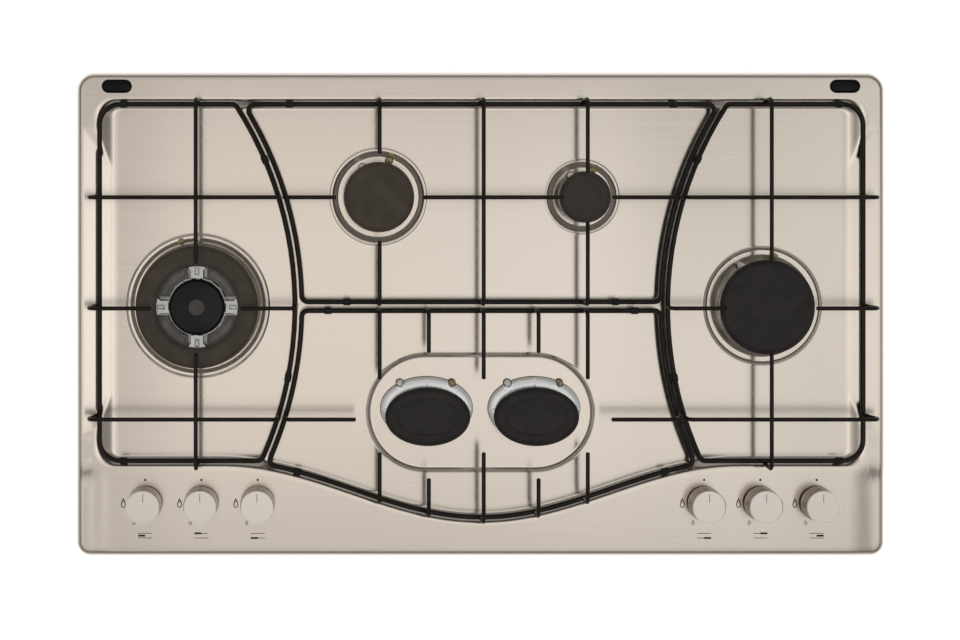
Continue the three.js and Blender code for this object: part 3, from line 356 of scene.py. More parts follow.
def mouldedPlastic(name, dark, light, rough, relief=0.03, size=0.8, gloss=0.3):
    # Injection-moulded plastic: an even dark skin with a fine spark-eroded texture.
    material, tree, shader, place = newMaterial(name, **{"Specular IOR Level": gloss})
    skin = grain(tree, place, size, detail=2.0)
    addSkin(tree, shader, (dark, light), skin, (skin, relief, 0.5), (skin, rough - 0.04, rough + 0.04))
    return material


steel = brushedStainless()
enamel = glossEnamel()
zinc = galvanised()
alloy = castAluminium("die-cast aluminium", "#b4b3b0", "#d3d2cf", (0.34, 0.46), 1.0)
# The oval burner bodies are bright cast aluminium, and their colour is raised further, nearly to white, as
# painted light against the shade under the caps
lightenedAlloy = castAluminium("die-cast aluminium lightened as painted light", "#f2f2f0", "#fcfcfa", (0.2, 0.28), 0.5)
brass = turnedBrass()
ceramic = glazedCeramic()
knobMetal = satinKnobMetal("satin knob metal", "#ded5ca", "#e6ddd3")
# A darker copy of the same knob metal for the knobs' sides: painted shade, not a different finish
knobShadedSide = satinKnobMetal("knob metal with painted shade", "#9a9084", "#a79d91")
capFinish = satinEnamel("satin black enamel", "#2a2624", "#38332f")
brownFinish = satinEnamel("heated satin enamel", "#4a4038", "#5a4f46")
warmFinish = satinEnamel("warm satin enamel", "#3e3731", "#4d443d")
centreFinish = satinEnamel("glossier black enamel", "#0a0909", "#110f0e", 0.17)
discFinish = satinEnamel("satin grey enamel", "#544f4a", "#625c56", 0.5)
greyEnamel = satinEnamel("grey enamel", "#6d6965", "#8b8782", 0.35)
rubber = mouldedPlastic("moulded rubber", "#131212", "#1d1b1a", 0.6)
plugPlastic = mouldedPlastic("gloss moulded nylon", "#070707", "#0c0b0b", 0.12, 0.01, 2.0, 0.14)
casePlastic = mouldedPlastic("moulded case plastic", "#1a1a1a", "#242424", 0.5)
foamRubber = mouldedPlastic("closed-cell foam", "#2f2f2f", "#444444", 0.85, 0.3, 1.2)
printInk = mouldedPlastic("screen-printed ink", "#2c2926", "#383430", 0.5, 0.005, 0.6, 0.15)
lineInk = mouldedPlastic("thin screen-printed ink", "#5a554e", "#67625a", 0.5, 0.005, 0.6, 0.15)
pointerInk = mouldedPlastic("grey pointer ink", "#a59f96", "#b3ada4", 0.5, 0.005, 0.6, 0.2)
print("finishes ready")


# Pressed top
panel = {
    "width": 870, "depth": 520, "cornerBack": 19, "cornerFront": 14.5, "rim": 10, "roll": 6.5,
    "rollStart": 3.5, "hem": ((9, 0), (1.2, 0), (0.35, 0.35), (0, 1.2)), "sheet": 1, "floor": 2,
    "basinSide": 416.5, "basinBack": 232.8, "basinFront": -164.5, "basinCorner": 22,
    "sideRun": 24, "backRun": 12, "frontRun": 12, "smileDepth": 61, "smileHalf": 280,
    "scoopOut": 428, "scoopIn": 380, "scoopLow": 2.2, "scoopBlend": 0.35, "scoopSlope": 0.2313,
    "scoopBack": 200, "scoopFront": -127, "scoopEndSlope": 0.16,
    "pillowStart": 398, "pillowRun": 26, "pillowDrop": 2.2, "pillowEnd": -170, "pillowRamp": 14,
    "beadWidth": 5, "rimRise": ((0, 0), (2.5, 1.5), (5, 0)), "dishDrop": 2.5, "flat": 1.5,
    "frontSteps": 112, "sideSteps": 110, "backSteps": 36, "cornerSteps": 8,
    "wallSteps": 13, "rimShares": (0.05, 0.12, 0.2, 0.3, 0.4, 0.5, 0.6, 0.7, 0.8, 0.88, 0.95),
}
# Pins are placed by distance and angle round their burner; "rim" runs from the bead into the dish.
roundBurners = [
    {"name": "wok", "x": -304.5, "y": 9, "cap": 65.5, "bowl": 78, "teeth": 36, "tip": 47,
     "rim": ((0, 0), (2.5, 1.5), (5, 1.3), (8.8, -1.5), (10.8, -1.6), (13.5, -2.5)),
     "spark": (72.2, 91), "probe": (71.8, 104.7)},
    {"name": "semi", "x": -110, "y": 126.5, "cap": 37.5, "bowl": 53.2, "teeth": 24, "tip": 46,
     "rim": ((0, 0), (1.8, 0.5), (9, -2.5, 1)), "spark": (36.3, 118), "probe": (40.8, 73.4)},
    {"name": "aux", "x": 110, "y": 126.5, "cap": 27.5, "bowl": 40.8, "teeth": 18, "tip": 26,
     "rim": ((0, 0), (1.6, 0.45), (8.2, -2.5, 1)), "spark": (26.3, 118), "probe": (30.2, 68.9)},
    {"name": "rapid", "x": 304.5, "y": 9, "cap": 50.5, "bowl": 64.2, "teeth": 30, "tip": 48.5,
     "rim": ((0, 0), (2.1, 1.2), (4.2, 0.1), (9, 0), (13.8, -2.5)),
     "spark": (49.3, 118), "probe": (55, 77.1)},
]
fish = {  # the pair of oval burners
    "x": 58, "y": -108, "capLength": 91, "capWidth": 62.5, "bodyLength": 99.5, "bodyWidth": 68,
    "bodyBack": 6.5, "bowlLength": 247, "bowlWidth": 129, "bowlY": -106,
    "spark": (-29, 34), "probe": (27, 34), "teeth": 28, "seam": 0.9, "shadeRingReach": 0.45,
    "skirt": 0.6, "crown": 3.5, "portInset": 6.3, "crownInner": 7,
}
burner = {
    "capTop": 28, "capThick": 7.7, "spigot": 2.5, "gap": 0.3, "headInset": 3.5, "wall": 3.5, "hole": 6,
    "flange": 2.5, "floorThick": 3, "port": 4.5, "throat": 7,
}
pins = {
    "radius": 2.6, "top": 17, "collar": 3.6, "collarHigh": 4.6,
    "gap": 0.9, "headGap": 0.4, "sheetGap": 0.35,
}
knobs = {
    "x": (-361, -300.5, -240, 240, 300.5, 361), "y": -202.5, "radius": 18.5, "taper": 0.6,
    "top": 34.5, "low": 14, "edge": 1.3, "lineWide": 0.8, "lineLong": 9, "lineBack": 3, "lineDeep": 0.4,
    "names": ("wok", "semi", "fish_left", "fish_right", "aux", "rapid"), "hole": 5,
}
plug = {"x": 391.5, "y": 245.5, "length": 32.5, "width": 14.5, "rise": 2.6, "stem": 3}


def smilePoint(x, inset):
    turn = math.pi * x / panel["smileHalf"]
    inside = abs(x) < panel["smileHalf"]
    dip = panel["smileDepth"] / 2 * (1 + math.cos(turn)) if inside else 0.0
    slope = panel["smileDepth"] / 2 * math.pi / panel["smileHalf"] * math.sin(turn) if inside else 0.0
    normal = Vector((-slope, 1)).normalized()
    return x + normal.x * inset, panel["basinFront"] - dip + normal.y * inset


def loopPoints(side, front, back, cornerFront, cornerBack, frontEdge):
    # One loop round the panel with the same number of points whatever its size.
    points = []

    def arc(x, y, radius, start):
        for k in range(panel["cornerSteps"] + 1):
            turn = math.radians(start + 90 * k / panel["cornerSteps"])
            points.append((x + radius * math.cos(turn), y + radius * math.sin(turn)))

    arc(cornerFront - side, front + cornerFront, cornerFront, 180)
    reach = side - cornerFront
    for k in range(1, panel["frontSteps"]):
        points.append(frontEdge(reach * (2 * k / panel["frontSteps"] - 1)))
    arc(side - cornerFront, front + cornerFront, cornerFront, 270)
    for k in range(1, panel["sideSteps"]):
        share = k / panel["sideSteps"]
        points.append((side, front + cornerFront + (back - cornerBack - front - cornerFront) * share))
    arc(side - cornerBack, back - cornerBack, cornerBack, 0)
    for k in range(1, panel["backSteps"]):
        points.append(((side - cornerBack) * (1 - 2 * k / panel["backSteps"]), back))
    arc(cornerBack - side, back - cornerBack, cornerBack, 90)
    for k in range(1, panel["sideSteps"]):
        share = 1 - k / panel["sideSteps"]
        points.append((-side, front + cornerFront + (back - cornerBack - front - cornerFront) * share))
    return points


def outerLoop(inset):
    half = panel["depth"] / 2 - inset
    return loopPoints(
        panel["width"] / 2 - inset, -half, half,
        max(panel["cornerFront"] - inset, 1), max(panel["cornerBack"] - inset, 1), lambda x: (x, -half),
    )


def basinLoop(share):
    inset = share * panel["frontRun"]
    corner = panel["basinCorner"] * (1 - 0.75 * min(share, 1))
    return loopPoints(
        panel["basinSide"] - share * panel["sideRun"], panel["basinFront"] + inset,
        panel["basinBack"] - share * panel["backRun"], corner, corner, lambda x: smilePoint(x, inset),
    )


def smoothLess(first, second, blend):  # the lesser of two heights, with the crease rounded
    share = max(blend - abs(first - second), 0) / blend
    return min(first, second) - share * share * blend / 4


def pressedHeight(x, y, z):
    rim = panel["rim"]
    ramp = rim - panel["scoopSlope"] * (panel["scoopOut"] - abs(x))
    endBack = rim + panel["scoopEndSlope"] * (y - panel["scoopBack"])
    endFront = rim + panel["scoopEndSlope"] * (panel["scoopFront"] - y)
    scoop = max(ramp, endBack, endFront)
    beside = ease((abs(x) - panel["pillowStart"]) / panel["pillowRun"])
    ahead = ease((panel["pillowEnd"] - y) / panel["pillowRamp"] + 0.5)
    z -= panel["pillowDrop"] * beside * ahead * max(z, 0) / rim
    if abs(x) > panel["scoopIn"] and z > panel["scoopLow"]:
        return smoothLess(z, scoop, panel["scoopBlend"])
    return z


def pressedRing(loop, z):
    return [(x, y, pressedHeight(x, y, z)) for x, y in loop]


def mixLoops(first, second, share):
    return [(a[0] + (b[0] - a[0]) * share, a[1] + (b[1] - a[1]) * share) for a, b in zip(first, second)]


def panelRings():
    rings = [pressedRing(outerLoop(inset), z) for inset, z in panel["hem"]]
    for k in range(8):
        turn = math.radians(90 * k / 7)
        inset = panel["roll"] * (1 - math.cos(turn))
        z = panel["rollStart"] + (panel["rim"] - panel["rollStart"]) * math.sin(turn)
        rings.append(pressedRing(outerLoop(inset), z))
    outer, basin = outerLoop(panel["roll"]), basinLoop(0)
    rings += [pressedRing(mixLoops(outer, basin, share), panel["rim"]) for share in panel["rimShares"]]
    for k in range(panel["wallSteps"] + 1):
        share = k / panel["wallSteps"]
        z = panel["rim"] - (panel["rim"] - panel["floor"]) * ease(share)
        rings.append(pressedRing(basinLoop(share), z))
    rings.append(pressedRing(basinLoop(1 + panel["flat"] / panel["frontRun"]), panel["floor"]))
    return rings


def slopes(corners, steps=8):  # (inset, height) along a profile; a corner with a 1 is reached ever steeper
    levels = [corners[0]]
    for (fromRun, fromHigh, *_), (run, high, *steeper) in zip(corners, corners[1:]):
        for k in range(1, steps + 1):
            share = k / steps
            eased = share ** 1.6 if steeper else (share + ease(share)) / 2
            levels.append((fromRun + (run - fromRun) * share, fromHigh + (high - fromHigh) * eased))
    return levels


def bowlRings(each):
    floor, x, y = panel["floor"], each["x"], each["y"]
    levels = [(each["bowl"] + panel["flat"], floor)]
    levels += [(each["bowl"] - inset, floor + height) for inset, height in slopes(each["rim"])]
    levels.append((levels[-1][0] - panel["flat"], floor - panel["dishDrop"]))
    levels.append((min(each["cap"] - burner["hole"], levels[-1][0] - 1), floor - panel["dishDrop"]))
    return [ring(r, r, z, x, y) for r, z in levels]


def fishBowl(inset, z):
    outline = stadium(0, fish["bowlY"], fish["bowlLength"], fish["bowlWidth"], inset, 28, 12)
    return [(x, y, z) for x, y in outline]


def fillBetween(piece, belongs):  # fills the flat gap between open loops whose points belong
    onlySelect(piece)
    bpy.ops.object.mode_set(mode="EDIT")
    bpy.ops.mesh.select_mode(type="EDGE")
    bpy.ops.mesh.select_all(action="DESELECT")
    work = bmesh.from_edit_mesh(piece.data)
    for edge in work.edges:
        edge.select = edge.is_boundary and all(belongs(v.co * 1000) for v in edge.verts)
    bmesh.update_edit_mesh(piece.data)
    bpy.ops.mesh.fill(use_beauty=True)
    bpy.ops.mesh.select_mode(type="VERT")
    bpy.ops.object.mode_set(mode="OBJECT")


def insideFishBowl(x, y):
    reach = (fish["bowlLength"] - fish["bowlWidth"]) / 2
    away = math.hypot(max(abs(x) - reach, 0), y - fish["bowlY"])
    return away < fish["bowlWidth"] / 2 - panel["beadWidth"] + 0.1


def insideFishBody(x, y):
    halfX, halfY = (fish[size] / 2 - burner["hole"] + 0.5 for size in ("bodyLength", "bodyWidth"))
    y -= fish["y"] + fish["bodyBack"]
    return any(math.hypot((x - side * fish["x"]) / halfX, y / halfY) < 1 for side in (-1, 1))


def pinPlaces():  # kind of pin, burner, place and the level that it stands on
    places = []
    dish = panel["floor"] - panel["dishDrop"]
    for each in roundBurners:
        for kind in ("spark", "probe"):
            distance, turn = each[kind][0], math.radians(each[kind][1])
            x, y = each["x"] + distance * math.cos(turn), each["y"] + distance * math.sin(turn)
            places.append((kind, each["name"], x, y, dish))
    for side, name in ((-1, "fish_left"), (1, "fish_right")):
        for kind in ("spark", "probe"):
            x, y = fish[kind]
            places.append((kind, name, side * fish["x"] + x, fish["y"] + y, panel["floor"]))
    return places


def fishOval(inset, side, back=0.0, z=0.0, sides=96, length=None, width=None):
    return ring(
        (length or fish["bodyLength"]) / 2 - inset, (width or fish["bodyWidth"]) / 2 - inset, z,
        side * fish["x"], fish["y"] + back, sides,
    )


def makePanel():
    floor, flat, rimRise = panel["floor"], panel["flat"], panel["rimRise"]
    parts = [loft("pressed_top", panelRings(), openEnds=True)]
    parts += [loft("bowl", bowlRings(each), openEnds=True) for each in roundBurners]
    levels = [(-flat, 0.0)] + slopes(rimRise) + [(rimRise[-1][0] + flat, 0.0)]
    parts.append(loft("bowl", [fishBowl(inset, floor + z) for inset, z in levels], openEnds=True))
    for side in (-1, 1):
        insets = (burner["hole"] - 1.5, burner["hole"])
        rings = [fishOval(inset, side, fish["bodyBack"], floor) for inset in insets]
        parts.append(loft("bowl", rings, openEnds=True))
    piece = merged("pressed_top", parts)

    def onFloor(point):
        return abs(point.z - worktop - floor) < 0.05

    fillBetween(piece, lambda p: onFloor(p) and not insideFishBowl(p.x, p.y))
    fillBetween(piece, lambda p: onFloor(p) and insideFishBowl(p.x, p.y) and not insideFishBody(p.x, p.y))
    editAll(piece, lambda: bpy.ops.mesh.remove_doubles(threshold=1e-6),
            lambda: bpy.ops.mesh.normals_make_consistent(inside=False))
    if max(piece.data.polygons, key=lambda face: face.area).normal.z < 0:
        editAll(piece, bpy.ops.mesh.flip_normals)
    applyModifier(piece, "SOLIDIFY", thickness=panel["sheet"] * 0.001, offset=-1)
    cutters = [peg("cut", knobs["hole"], 5, 15, x, knobs["y"]) for x in knobs["x"]]
    for kind, name, x, y, seat in pinPlaces():
        cutters.append(peg("cut", pins["radius"] + pins["sheetGap"], seat - 5, seat + 8, x, y, 24))
    cutters += [prism("cut", plugOutline(plug["stem"], side), 5, 15) for side in (-1, 1)]
    carve(piece, merged("cut", cutters))
    return dress(piece, steel, "hob", ["top_panel"], 40)


def plugOutline(inset, side):
    return stadium(side * plug["x"], plug["y"], plug["length"], plug["width"], inset, 10)


makePanel()
print("pressed top done")


# Hinge plugs
def makePlug(side, name):
    base, dome = panel["rim"] + 0.9, plug["rise"] - 0.6
    levels = [(plug["stem"] + 0.3, 5), (plug["stem"] + 0.3, 10.3), (0.3, 10.3), (0, 10.7)]
    for k in range(7):
        turn = math.radians(90 * k / 6)
        levels.append((plug["width"] / 2 * 0.62 * (1 - math.cos(turn)), base + dome * math.sin(turn)))
    piece = loft(f"plug_{name}", [[(x, y, z) for x, y in plugOutline(inset, side)] for inset, z in levels])
    dress(piece, plugPlastic, "hob", [f"hinge_plug_{name}"], 50)


makePlug(-1, "left")
makePlug(1, "right")


# Burners
capBottom = burner["capTop"] - burner["capThick"]
headTop = capBottom - burner["gap"]
dishLow = panel["floor"] - panel["dishDrop"] + 2 * burner["gap"] + burner["flange"]


def toothedRings(outer, inner, low, portLow, teeth, place, floorZ=None, throat=None):
    # Rings for a burner crown: the wall is notched all round its top by narrow ports.
    sides = teeth * 8
    notch = [k % 8 in (3, 4) for k in range(sides)]

    def level(radius, z, cutTo=None):
        rings = place(radius, z, sides)
        if cutTo is None:
            return rings
        inside = place(cutTo, z, sides)
        return [inside[k] if notch[k] else rings[k] for k in range(sides)]

    slot = inner + 0.7
    rings = [level(outer - 1.4, low), level(outer - 0.3, low + 0.4), level(outer, low + 1.6),
             level(outer, portLow), level(outer, portLow, slot), level(outer, headTop - 0.5, slot),
             level(outer - 0.5, headTop, slot), level(inner, headTop)]
    if floorZ is None:
        rings += [level(inner, low), level(outer - 1.4, low)]
    else:
        rings += [level(inner, floorZ), level(throat, floorZ), level(throat, low), level(outer - 1.4, low)]
    return rings


def roundPlace(x, y):
    return lambda radius, z, sides: ring(radius, radius, z, x, y, sides)


def makeHead(each):
    name, outer = each["name"], each["cap"] - burner["headInset"]
    piece = loft(f"head_{name}", toothedRings(
        outer, outer - burner["wall"], dishLow, headTop - burner["port"], each["teeth"],
        roundPlace(each["x"], each["y"]), dishLow + burner["floorThick"], burner["throat"],
    ))
    notch = pins["radius"] + pins["headGap"]
    carve(piece, merged("cut", [
        peg("cut", notch, -5, 30, x, y) for _, owner, x, y, _ in pinPlaces() if owner == name]))
    dress(piece, alloy, "hob", [f"burner_head_{name}"], 30)


def makeCap(each):
    name, top, edge = each["name"], burner["capTop"], each["cap"]
    spigot = (edge - burner["headInset"] - burner["wall"]) * 0.98 - 0.4
    low = capBottom - burner["spigot"]
    profile = soften([
        (0, low, 0), (spigot, low, 0.5), (spigot, capBottom, 0), (edge, capBottom, 0.7),
        (edge, top - 3.2, 2.4), (edge - 4.5, top - 0.75, 5), (edge * 0.45, top, 6), (0, top, 0),
    ])
    piece = turned(f"cap_{name}_enamel", profile, each["x"], each["y"])
    finish = {"rapid": capFinish, "aux": warmFinish, "semi": brownFinish}[name]
    dress(piece, finish, f"lid_{name}", [f"cap_{name}"])


wokHead = {
    "hole": 43.5, "centre": 30, "arm": 19, "neck": 0.36, "armStart": 29, "slot": (34.2, 42.6, 2.6),
    "slotGroove": 1.5, "slotDeep": 6, "crown": (31.4, 27), "crownTeeth": 14, "ringTop": 26.4,
    "centreTop": 27.5, "disc": 8.4, "insertDrop": 2, "insertGroove": 1.1,
}


def makeWok(each):
    hole, centre, ringTop, middle = (wokHead[key] for key in ("hole", "centre", "ringTop", "centreTop"))
    outer, edge, x, y = each["cap"] - burner["headInset"], each["cap"], each["x"], each["y"]
    floorZ, low, throat = dishLow + burner["floorThick"], capBottom - burner["spigot"], burner["throat"]
    portLow = headTop - burner["port"]

    def crown(outside, inside, teeth):
        return loft("head", toothedRings(outside, inside, dishLow, portLow, teeth, roundPlace(x, y)))

    parts = [crown(outer, outer - burner["wall"], each["teeth"]), turned("head", [
        (hole + 4.5, dishLow + 1), (hole + 4.5, headTop), (hole + 1, headTop), (hole + 1, dishLow + 1),
        (hole + 4.5, dishLow + 1),
    ], x, y), turned("head", [
        (throat, dishLow), (outer - 3, dishLow), (outer - 3, floorZ), (throat, floorZ), (throat, dishLow),
    ], x, y), crown(*wokHead["crown"], wokHead["crownTeeth"])]
    parts += [makeArm(x, y, turn, wokHead["armStart"], hole + 3, floorZ) for turn in (0, 90, 180, 270)]
    dress(merged("head_wok", parts), alloy, "hob", ["burner_head_wok"], 30)
    makeInserts(x, y, centre + 2.6, hole + 0.7, floorZ)

    profile = soften([
        (hole + 6, low, 0), (outer - 4.5, low, 0.4), (outer - 4.5, capBottom, 0), (edge, capBottom, 0.7),
        (edge, ringTop - 1.8, 2.2), (edge - 4.5, ringTop, 4), (hole + 4.5, ringTop, 4),
        (hole, ringTop - 2.6, 1.6), (hole, capBottom, 0.5), (hole + 6, capBottom, 0), (hole + 6, low, 0),
    ])
    piece = turned("cap_wok_outer", profile, x, y, 128)
    dress(piece, brownFinish, "lid_wok_ring", ["cap_wok_ring"])

    profile = soften([
        (0, low, 0), (22.5, low, 0.4), (22.5, capBottom, 0), (centre, capBottom, 0.6),
        (centre, middle - 3.1, 2), (centre - 3, middle - 1.6, 3), (9.6, middle, 3), (8.6, middle, 0),
        (0, middle, 0),
    ])
    piece = turned("cap_wok_middle", profile, x, y)
    dress(piece, centreFinish, "lid_wok_centre", ["cap_wok_centre"])
    disc, top = wokHead["disc"], burner["capTop"]
    profile = soften([(0, middle - 0.4, 0), (disc, middle - 0.4, 0), (disc, top, 0.3), (0, top, 0)])
    dress(turned("cap_wok_middle_disc", profile, x, y, 48), discFinish, "lid_wok_centre")


def makeInserts(x, y, inner, outer, low):
    # Enamelled plates between the gas bridges, each with a raised border line.
    def outline(quarter, inset):
        points = []
        for radius, order in ((outer - inset, 1), (inner + inset, -1)):
            trim = math.degrees((wokHead["arm"] / 2 + 1.2 + inset) / radius)
            for k in range(15)[::order]:
                turn = math.radians(quarter + trim + (90 - 2 * trim) * k / 14)
                points.append((x + radius * math.cos(turn), y + radius * math.sin(turn)))
        return points

    top = headTop - wokHead["insertDrop"]
    groove = top - wokHead["insertGroove"]
    levels = [(0, low - 0.3), (0, top - 0.4), (0.35, top), (1.5, top), (1.8, groove), (2.8, groove),
              (3.1, top), (3.6, top)]
    plates = [loft("insert", [[(*p, z) for p in outline(quarter, inset)] for inset, z in levels])
              for quarter in (0, 90, 180, 270)]
    dress(merged("wok_inserts", plates), greyEnamel, "hob", angle=30)


def makeArm(x, y, turn, start, end, low):
    # A gas bridge from the crown to the outer gallery, with a slot near its outer end.
    across, along = math.radians(turn + 90), math.radians(turn)

    def at(out, side, z):
        return (x + out * math.cos(along) + side * math.cos(across),
                y + out * math.sin(along) + side * math.sin(across), z)

    half, neck = wokHead["arm"] / 2, wokHead["arm"] * wokHead["neck"]
    side = [(start, neck), (end - 7.5, neck), (end - 4.5, half), (end, half)]
    corners = [(out, -y) for out, y in side] + side[::-1]
    outline = roundPath([(*corner, 0, 1.2) for corner in corners], 3)
    levels = ((0, low - 0.5), (0, headTop - 0.5), (0.5, headTop))
    piece = loft("arm", [[at(p.x, p.y * (1 - inset / half), z) for p in outline] for inset, z in levels])
    near, far, wide = wokHead["slot"]
    slot = []
    for grow in (0, wokHead["slotGroove"]):
        corners = rectangle((near + far) / 2, 0, (far - near) / 2 - grow, wide - grow)
        slot.append(loft("cut", [
            [at(*corner, z) for corner in corners] for z in (headTop - wokHead["slotDeep"], headTop + 2)]))
    carve(*slot)
    carve(piece, slot[0])
    return piece


def seamCutter(side, turn, back, seat):  # a narrow radial joint across the body's rim
    along = math.radians(turn)
    far, near = (fishOval(inset, side, back, 0, 360)[turn] for inset in (-1, 12))
    across = Vector((-math.sin(along), math.cos(along), 0)) * fish["seam"] / 2
    outline = [Vector(far) + across, Vector(far) - across, Vector(near) - across, Vector(near) + across]
    return prism("cut", outline, seat + 4.2, seat + 9)


def makeFish(side, name):
    seat = panel["floor"] + 2 * burner["gap"] + burner["flange"]
    back, skirt, x, y = fish["bodyBack"], panel["floor"] + fish["skirt"], side * fish["x"], fish["y"]
    levels = [(1.2, skirt), (0.3, skirt), (0, skirt + 0.4), (0.1, skirt + 0.9), (1.3, seat + 4.8),
              (1.9, seat + 5.2), (9, seat + 6)]
    plate = loft("head", [fishOval(inset, side, back, z) for inset, z in levels])
    sides = fish["teeth"] * 8
    cap = (fish["capLength"], fish["capWidth"])

    def oval(inset, z, cut=False):
        full, slot = (fishOval(off, side, 0, z, sides, *cap) for off in (inset, fish["portInset"]))
        return [slot[k] if cut and k % 8 in (3, 4) else full[k] for k in range(sides)]

    port, outer, inner = headTop - burner["port"], fish["crown"], fish["crownInner"]
    crown = loft("head", [
        oval(outer, seat + 3), oval(outer, port), oval(outer, port, True),
        oval(outer, headTop - 0.5, True), oval(outer + 0.5, headTop, True), oval(inner, headTop),
        oval(inner, seat + 3), oval(outer, seat + 3),
    ])
    for kind in ("spark", "probe"):
        px, py = fish[kind]
        carve(plate, peg("cut", pins["collar"] + pins["gap"], 0, 12, x + px, y + py))
    for turn in (0, 90, 180):
        carve(plate, seamCutter(side, turn, back, seat))
    piece = merged(f"head_{name}", [plate, crown])
    dress(piece, lightenedAlloy, "hob", [f"burner_head_{name}"], 30)
    # A thin black ring just outside each body draws its outline: painted shade standing in for the shadow
    # gap round the body
    rim = -fish["shadeRingReach"]
    levels = ((6, 0.1), (rim, 0.1), (rim, 0.6), (0.6, 0.8), (6, 0.8), (6, 0.1))
    rings = [fishOval(inset, side, back, panel["floor"] + z) for inset, z in levels]
    dress(loft(f"painted_shade_ring_{name}", rings), rubber, "hob")

    top = burner["capTop"]
    profile = soften([
        (8.5, capBottom - burner["spigot"], 0), (8.5, capBottom, 0), (0, capBottom, 0.7),
        (0, top - 3.4, 2.2), (4.2, top - 1.1, 5), (11.5, top - 0.6, 2), (13.4, top, 0.8), (20, top, 0),
    ])
    piece = loft(f"cap_{name}_enamel", [fishOval(inset, side, 0, z, 112, *cap) for inset, z in profile])
    dress(piece, capFinish, f"lid_{name}", [f"cap_{name}"])


for each in roundBurners:
    if each["name"] == "wok":
        makeWok(each)
    else:
        makeHead(each)
        makeCap(each)
makeFish(-1, "fish_left")
makeFish(1, "fish_right")
print("burners done")


# A white spark electrode and a brass flame probe behind each burner
for kind, name, x, y, seat in pinPlaces():
    top, radius, collar = pins["top"], pins["radius"], pins["collar"]
    high = seat + pins["collarHigh"]
    profile = [(0, -14, 0), (4, -14, 0.3), (4, seat - 1.3, 0.3), (radius, seat - 1.3, 0),
               (radius, seat + 0.3, 0), (collar, seat + 0.3, 0), (collar, high, 0.6)]
    if kind == "spark":
        profile += [(radius, high + 0.5, 0.4), (radius - 0.3, top - 2.6, 0.7), (1.5, top - 2.1, 0.4),
                    (0.75, top - 1.9, 0), (0.75, top, 0.3), (0, top, 0)]
        piece = turned(f"electrode_{name}", soften(profile), x, y, 32)
        dress(piece, ceramic, "hob", [f"spark_electrode_{name}"])
    else:
        profile += [(2.4, high + 0.4, 0.3), (2.4, top - 4.5, 0.5), (1.8, top - 4.1, 0),
                    (1.8, top - 1.4, 1.2), (0, top, 0)]
        piece = turned(f"probe_{name}", soften(profile), x, y, 32)
        dress(piece, brass, "hob", [f"flame_probe_{name}"])
    # A thin black ring round each pin's foot: painted shade standing in for the contact shadow round the
    # pin
    inner, outer = collar + 0.1, collar + pins["gap"]
    pinShadeRing = turned(f"pin_shade_ring_{kind}_{name}", [
        (inner, seat + 0.1), (outer, seat + 0.1), (outer, seat + 0.8), (inner, seat + 1.1),
        (inner, seat + 0.1),
    ], x, y, 32)
    dress(pinShadeRing, rubber, "hob")
print("pins done")


# Grates: bent wire, welded, on rubber feet
grate = {
    "rod": 2.7, "frame": 14, "finger": 2.2, "top": 42, "bend": 6, "bendRun": 14, "sideX": 409.5,
    "backY": 226, "frontY": -156.5, "corner": 22, "inner": 7, "arcX": 600, "arcY": 9, "sideArc": 400,
    "centreArc": 407.5, "backFront": 14, "frontBack": 4.5, "smileInset": 8.5, "backRow": 126.5,
    "midRow": 9, "frontRow": -108.5, "rowTip": 135, "sideReach": 12.5, "endReach": 7, "innerReach": 3,
    "foot": 3.7, "footLength": 8, "footHalf": 2.4, "sideFeetX": -384, "arcFeetY": (166.7, -67.5),
    "backFeetX": (206, 144), "frontFeetX": (164.5, 197),
    "frontBars": ((0, -66, -143), (-110, -66, -143), (110, -66, -143), (-58, -38, -170.5),
                  (58, -38, -170.5)),
    "tipEnd": ((0, 0.12), (0.12, 0.5), (0.45, 0.78), (1, 0.94), (1.7, 1)),  # length, share of the radius
    "weldEnd": ((-1.9, 0.3), (-1.6, 0.75), (-0.6, 1.05), (0.8, 1.3), (2.4, 1.16), (4.2, 1)),
}
fingerZ = grate["top"] - grate["finger"]


def arcX(y, radius):
    return math.sqrt(radius * radius - (y - grate["arcY"]) ** 2) - grate["arcX"]


def arcCorners(radius, start, end, steps):
    z = grate["frame"]
    ys = [start + (end - start) * k / steps for k in range(1, steps)]
    return [(arcX(y, radius), y, z, 0) for y in ys]


def fingerRun(a, b, reachA, reachB):
    # One bar between plan places a and b; a reach is how far its leg stands out past the frame.
    start, end = Vector((*a, fingerZ)), Vector((*b, fingerZ))
    along = (end - start).normalized()
    finger = grate["finger"]

    def ending(place, out, reach):
        if reach is None:
            return [(place - out * d, share) for d, share in grate["tipEnd"]]
        outward = reach - finger
        weld = min(outward, grate["rod"] + finger / 2)
        foot = Vector((place.x, place.y, grate["frame"])) + out * weld
        top, inward = place + out * outward, place + out * (outward - grate["bendRun"])
        leg = (top - foot).normalized()
        points = [(foot + leg * d, share) for d, share in grate["weldEnd"]]
        bend = roundPath([(*points[-1][0], 0), (*top, grate["bend"]), (*inward, 0)], 7, closed=False)
        return points + [(p, 1.0) for p in bend[1:-1]]

    first = ending(start, -along, reachA)
    last = ending(end, along, reachB)
    both = first + last[::-1]
    return [p for p, share in both], False, [share for p, share in both]


